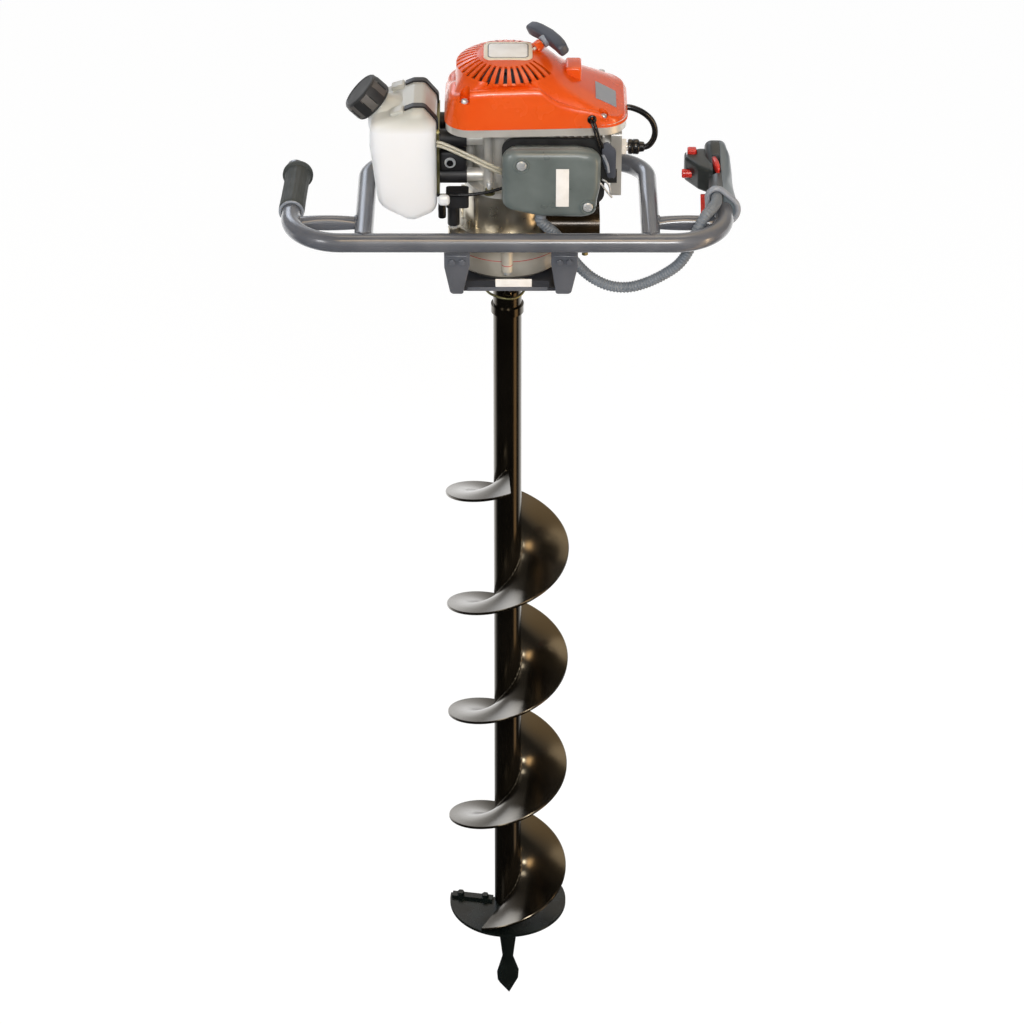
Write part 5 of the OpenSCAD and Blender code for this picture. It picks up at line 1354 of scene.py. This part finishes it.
seatPiece(seam, "redGasket", "frame")
for i, x in enumerate(mountSet["hangerBoltX"]):
    hexHead("hangerBolt%d" % i, (x, hangSet["y"] - 0.2, -31), (0, -1, 0), 7.0, 3.0, 0, "frameEnamel")
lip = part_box("base_tray")[0][1] * 1000
trayPlate = block("trayPlate", (-13.5, lip - 0.9, -67.5), (28, lip + 0.4, -57.5), 0.35, 2)
trayLip = block("trayLip", (-46, lip - 0.6, -73.2), (46, lip + 1.4, -68.2), 0.7, 2)
seatPiece(trayLip, "frameEnamel")
seatPiece(trayPlate, "paleEnamel")
print("small parts done")

# studio: pale floor under the point, soft lamps, white world
studio = {"floorZ": cadBox[0][2] - 0.002, "key": 62, "fill": 31, "top": 9, "warm": 5, "glow": 1.1,
          "back": 1.8, "world": 0.56, "mirror": 1.6, "wedge": 1.5, "screen": 0.7, "sky": 1.0,
          "floorGlow": 1.09, "floorShare": 0.86, "wedgeSides": (1.28, 4.7), "wedgeSoft": (0.15, -0.3),
          "skyAim": (0.3, 0.51, 0.81)}
bpy.ops.object.select_all(action="DESELECT")
bpy.ops.mesh.primitive_plane_add(size=30, location=(0, 0, studio["floorZ"]))
floor = bpy.context.object
floor.name = "paleFloor"
floorMat = bpy.data.materials.new("pale studio floor")
floorMat.use_nodes = True
tree = floorMat.node_tree
paint = tree.nodes["Principled BSDF"]
paint.inputs["Base Color"].default_value = hexColor("#f4f4f4")
paint.inputs["Roughness"].default_value = 0.9
rays = addNode(tree, "ShaderNodeLightPath")
seen = addNode(tree, "ShaderNodeMath", {"operation": "MULTIPLY", 1: studio["floorShare"]},
               {0: rays.outputs["Is Camera Ray"]})
spot = addNode(tree, "ShaderNodeTexCoord").outputs["Object"]
depth = addNode(tree, "ShaderNodeSeparateXYZ", links={"Vector": spot})
behind = addNode(tree, "ShaderNodeMapRange", {"From Min": 0.1, "From Max": 0.8, "To Min": 0.02,
                                              "To Max": studio["mirror"]}, {"Value": depth.outputs["Y"]})
part = addNode(tree, "ShaderNodeMath", {"operation": "MAXIMUM"},
               {0: seen.outputs[0], 1: rays.outputs["Is Glossy Ray"]})
power = addNode(tree, "ShaderNodeMix", {2: studio["floorGlow"]},
                {0: rays.outputs["Is Glossy Ray"], 3: behind.outputs["Result"]})
# a warm wedge of floor to the right, seen only in reflections
edges = []
for slope, soft in zip(studio["wedgeSides"], studio["wedgeSoft"]):
    line = addNode(tree, "ShaderNodeMath", {"operation": "MULTIPLY_ADD", 1: slope},
                   {0: depth.outputs["Y"], 2: depth.outputs["X"]})
    edges.append(addNode(tree, "ShaderNodeMapRange", {"From Min": 0.0, "From Max": soft},
                         {"Value": line.outputs[0]}))
wedge = addNode(tree, "ShaderNodeMath", {"operation": "MULTIPLY"},
                {0: edges[0].outputs["Result"], 1: edges[1].outputs["Result"]})
warm = addNode(tree, "ShaderNodeMath", {"operation": "MULTIPLY"},
               {0: wedge.outputs[0], 1: rays.outputs["Is Glossy Ray"]})
tint = addNode(tree, "ShaderNodeValToRGB", {"stops": [(0.0, grey(1.0)), (1.0, (1.0, 0.66, 0.34, 1.0))]},
               {"Fac": warm.outputs[0]})
power = addNode(tree, "ShaderNodeMath", {"operation": "MULTIPLY_ADD", 1: studio["wedge"]},
                {0: warm.outputs[0], 2: power.outputs[0]})
glow = addNode(tree, "ShaderNodeEmission", links={"Color": tint.outputs["Color"],
                                                  "Strength": power.outputs[0]})
both = addNode(tree, "ShaderNodeMixShader", links={0: part.outputs[0], 1: paint.outputs["BSDF"],
                                                   2: glow.outputs["Emission"]})
tree.links.new(both.outputs["Shader"], tree.nodes["Material Output"].inputs["Surface"])
floor.data.materials.append(floorMat)

world = bpy.context.scene.world or bpy.data.worlds.new("studioWorld")
bpy.context.scene.world = world
world.use_nodes = True
tree = world.node_tree
back = tree.nodes["Background"]
# bright before and behind, dim at the sides, as between two big screens
look = addNode(tree, "ShaderNodeTexCoord").outputs["Generated"]
way = addNode(tree, "ShaderNodeSeparateXYZ", links={"Vector": look})
side = addNode(tree, "ShaderNodeMath", {"operation": "ABSOLUTE"}, {0: way.outputs["Y"]})
level = addNode(tree, "ShaderNodeMapRange", {"From Min": 0.25, "From Max": 0.85,
                                             "To Min": studio["world"] * 0.3, "To Max": studio["world"]},
                {"Value": side.outputs[0]})
rays = addNode(tree, "ShaderNodeLightPath")
# seen only in reflections: a lit screen behind and a warm part of the ceiling
screen = addNode(tree, "ShaderNodeMapRange", {"From Min": 0.9, "From Max": 0.99, "To Max": studio["screen"]},
                 {"Value": way.outputs["Y"]})
aim = addNode(tree, "ShaderNodeVectorMath", {"operation": "DOT_PRODUCT", 1: studio["skyAim"]}, {0: look})
patch = addNode(tree, "ShaderNodeMapRange", {"From Min": 0.84, "From Max": 0.97},
                {"Value": aim.outputs["Value"]})
shown = addNode(tree, "ShaderNodeMath", {"operation": "MULTIPLY"},
                {0: patch.outputs["Result"], 1: rays.outputs["Is Glossy Ray"]})
tint = addNode(tree, "ShaderNodeValToRGB", {"stops": [(0.0, grey(1.0)), (1.0, (1.0, 0.78, 0.5, 1.0))]},
               {"Fac": shown.outputs[0]})
tree.links.new(tint.outputs["Color"], back.inputs["Color"])
extra = addNode(tree, "ShaderNodeMath", {"operation": "MULTIPLY_ADD", 1: studio["sky"]},
                {0: patch.outputs["Result"], 2: screen.outputs["Result"]})
total = addNode(tree, "ShaderNodeMath", {"operation": "MULTIPLY_ADD"},
                {0: extra.outputs[0], 1: rays.outputs["Is Glossy Ray"], 2: level.outputs["Result"]})
tree.links.new(total.outputs[0], back.inputs["Strength"])
white = addNode(tree, "ShaderNodeBackground", {"Color": grey(1.0), "Strength": 1.0})
seen = addNode(tree, "ShaderNodeMath", {"operation": "MAXIMUM"},
               {0: rays.outputs["Is Camera Ray"], 1: rays.outputs["Is Transmission Ray"]})
both = addNode(tree, "ShaderNodeMixShader", links={0: seen.outputs[0], 1: back.outputs["Background"],
                                                   2: white.outputs["Background"]})
tree.links.new(both.outputs["Shader"], tree.nodes["World Output"].inputs["Surface"])


# Area lamp that looks at a target
def softLamp(name, at, target, size, watts, color=(1.0, 1.0, 1.0), spread=180):
    data = bpy.data.lights.new(name, "AREA")
    data.shape = "RECTANGLE"
    data.size, data.size_y = size
    data.energy = watts
    data.color = color
    data.spread = math.radians(spread)
    lamp = bpy.data.objects.new(name, data)
    lamp.location = at
    lamp.rotation_euler = (Vector(target) - Vector(at)).to_track_quat("-Z", "Y").to_euler()
    bpy.context.scene.collection.objects.link(lamp)


softLamp("keyLamp", (0.5, -3.5, 2.1), (0, 0, 0), (0.85, 0.75), studio["key"])
softLamp("leftLamp", (-2.3, -2.5, 1.5), (0, 0, -0.2), (0.9, 1.2), studio["fill"])
softLamp("topLamp", (0.2, 0.7, 2.6), (0, 0, 0), (1.3, 0.9), studio["top"], (1.0, 0.88, 0.7))
softLamp("warmLamp", (2.4, -1.1, -0.3), (0, 0, -0.6), (0.22, 1.6), studio["warm"], (1.0, 0.70, 0.40), 90)
softLamp("glowLamp", (0.12, -1.32, 1.3), (0.02, 0, -0.72), (1.2, 1.0), studio["glow"], (1.0, 0.72, 0.42), 30)
softLamp("backLamp", (-0.85, 2.0, 0.55), (0, 0, -0.8), (1.2, 1.5), studio["back"], (0.8, 0.87, 1.0), 40)
bpy.context.scene.view_settings.view_transform = "Standard"
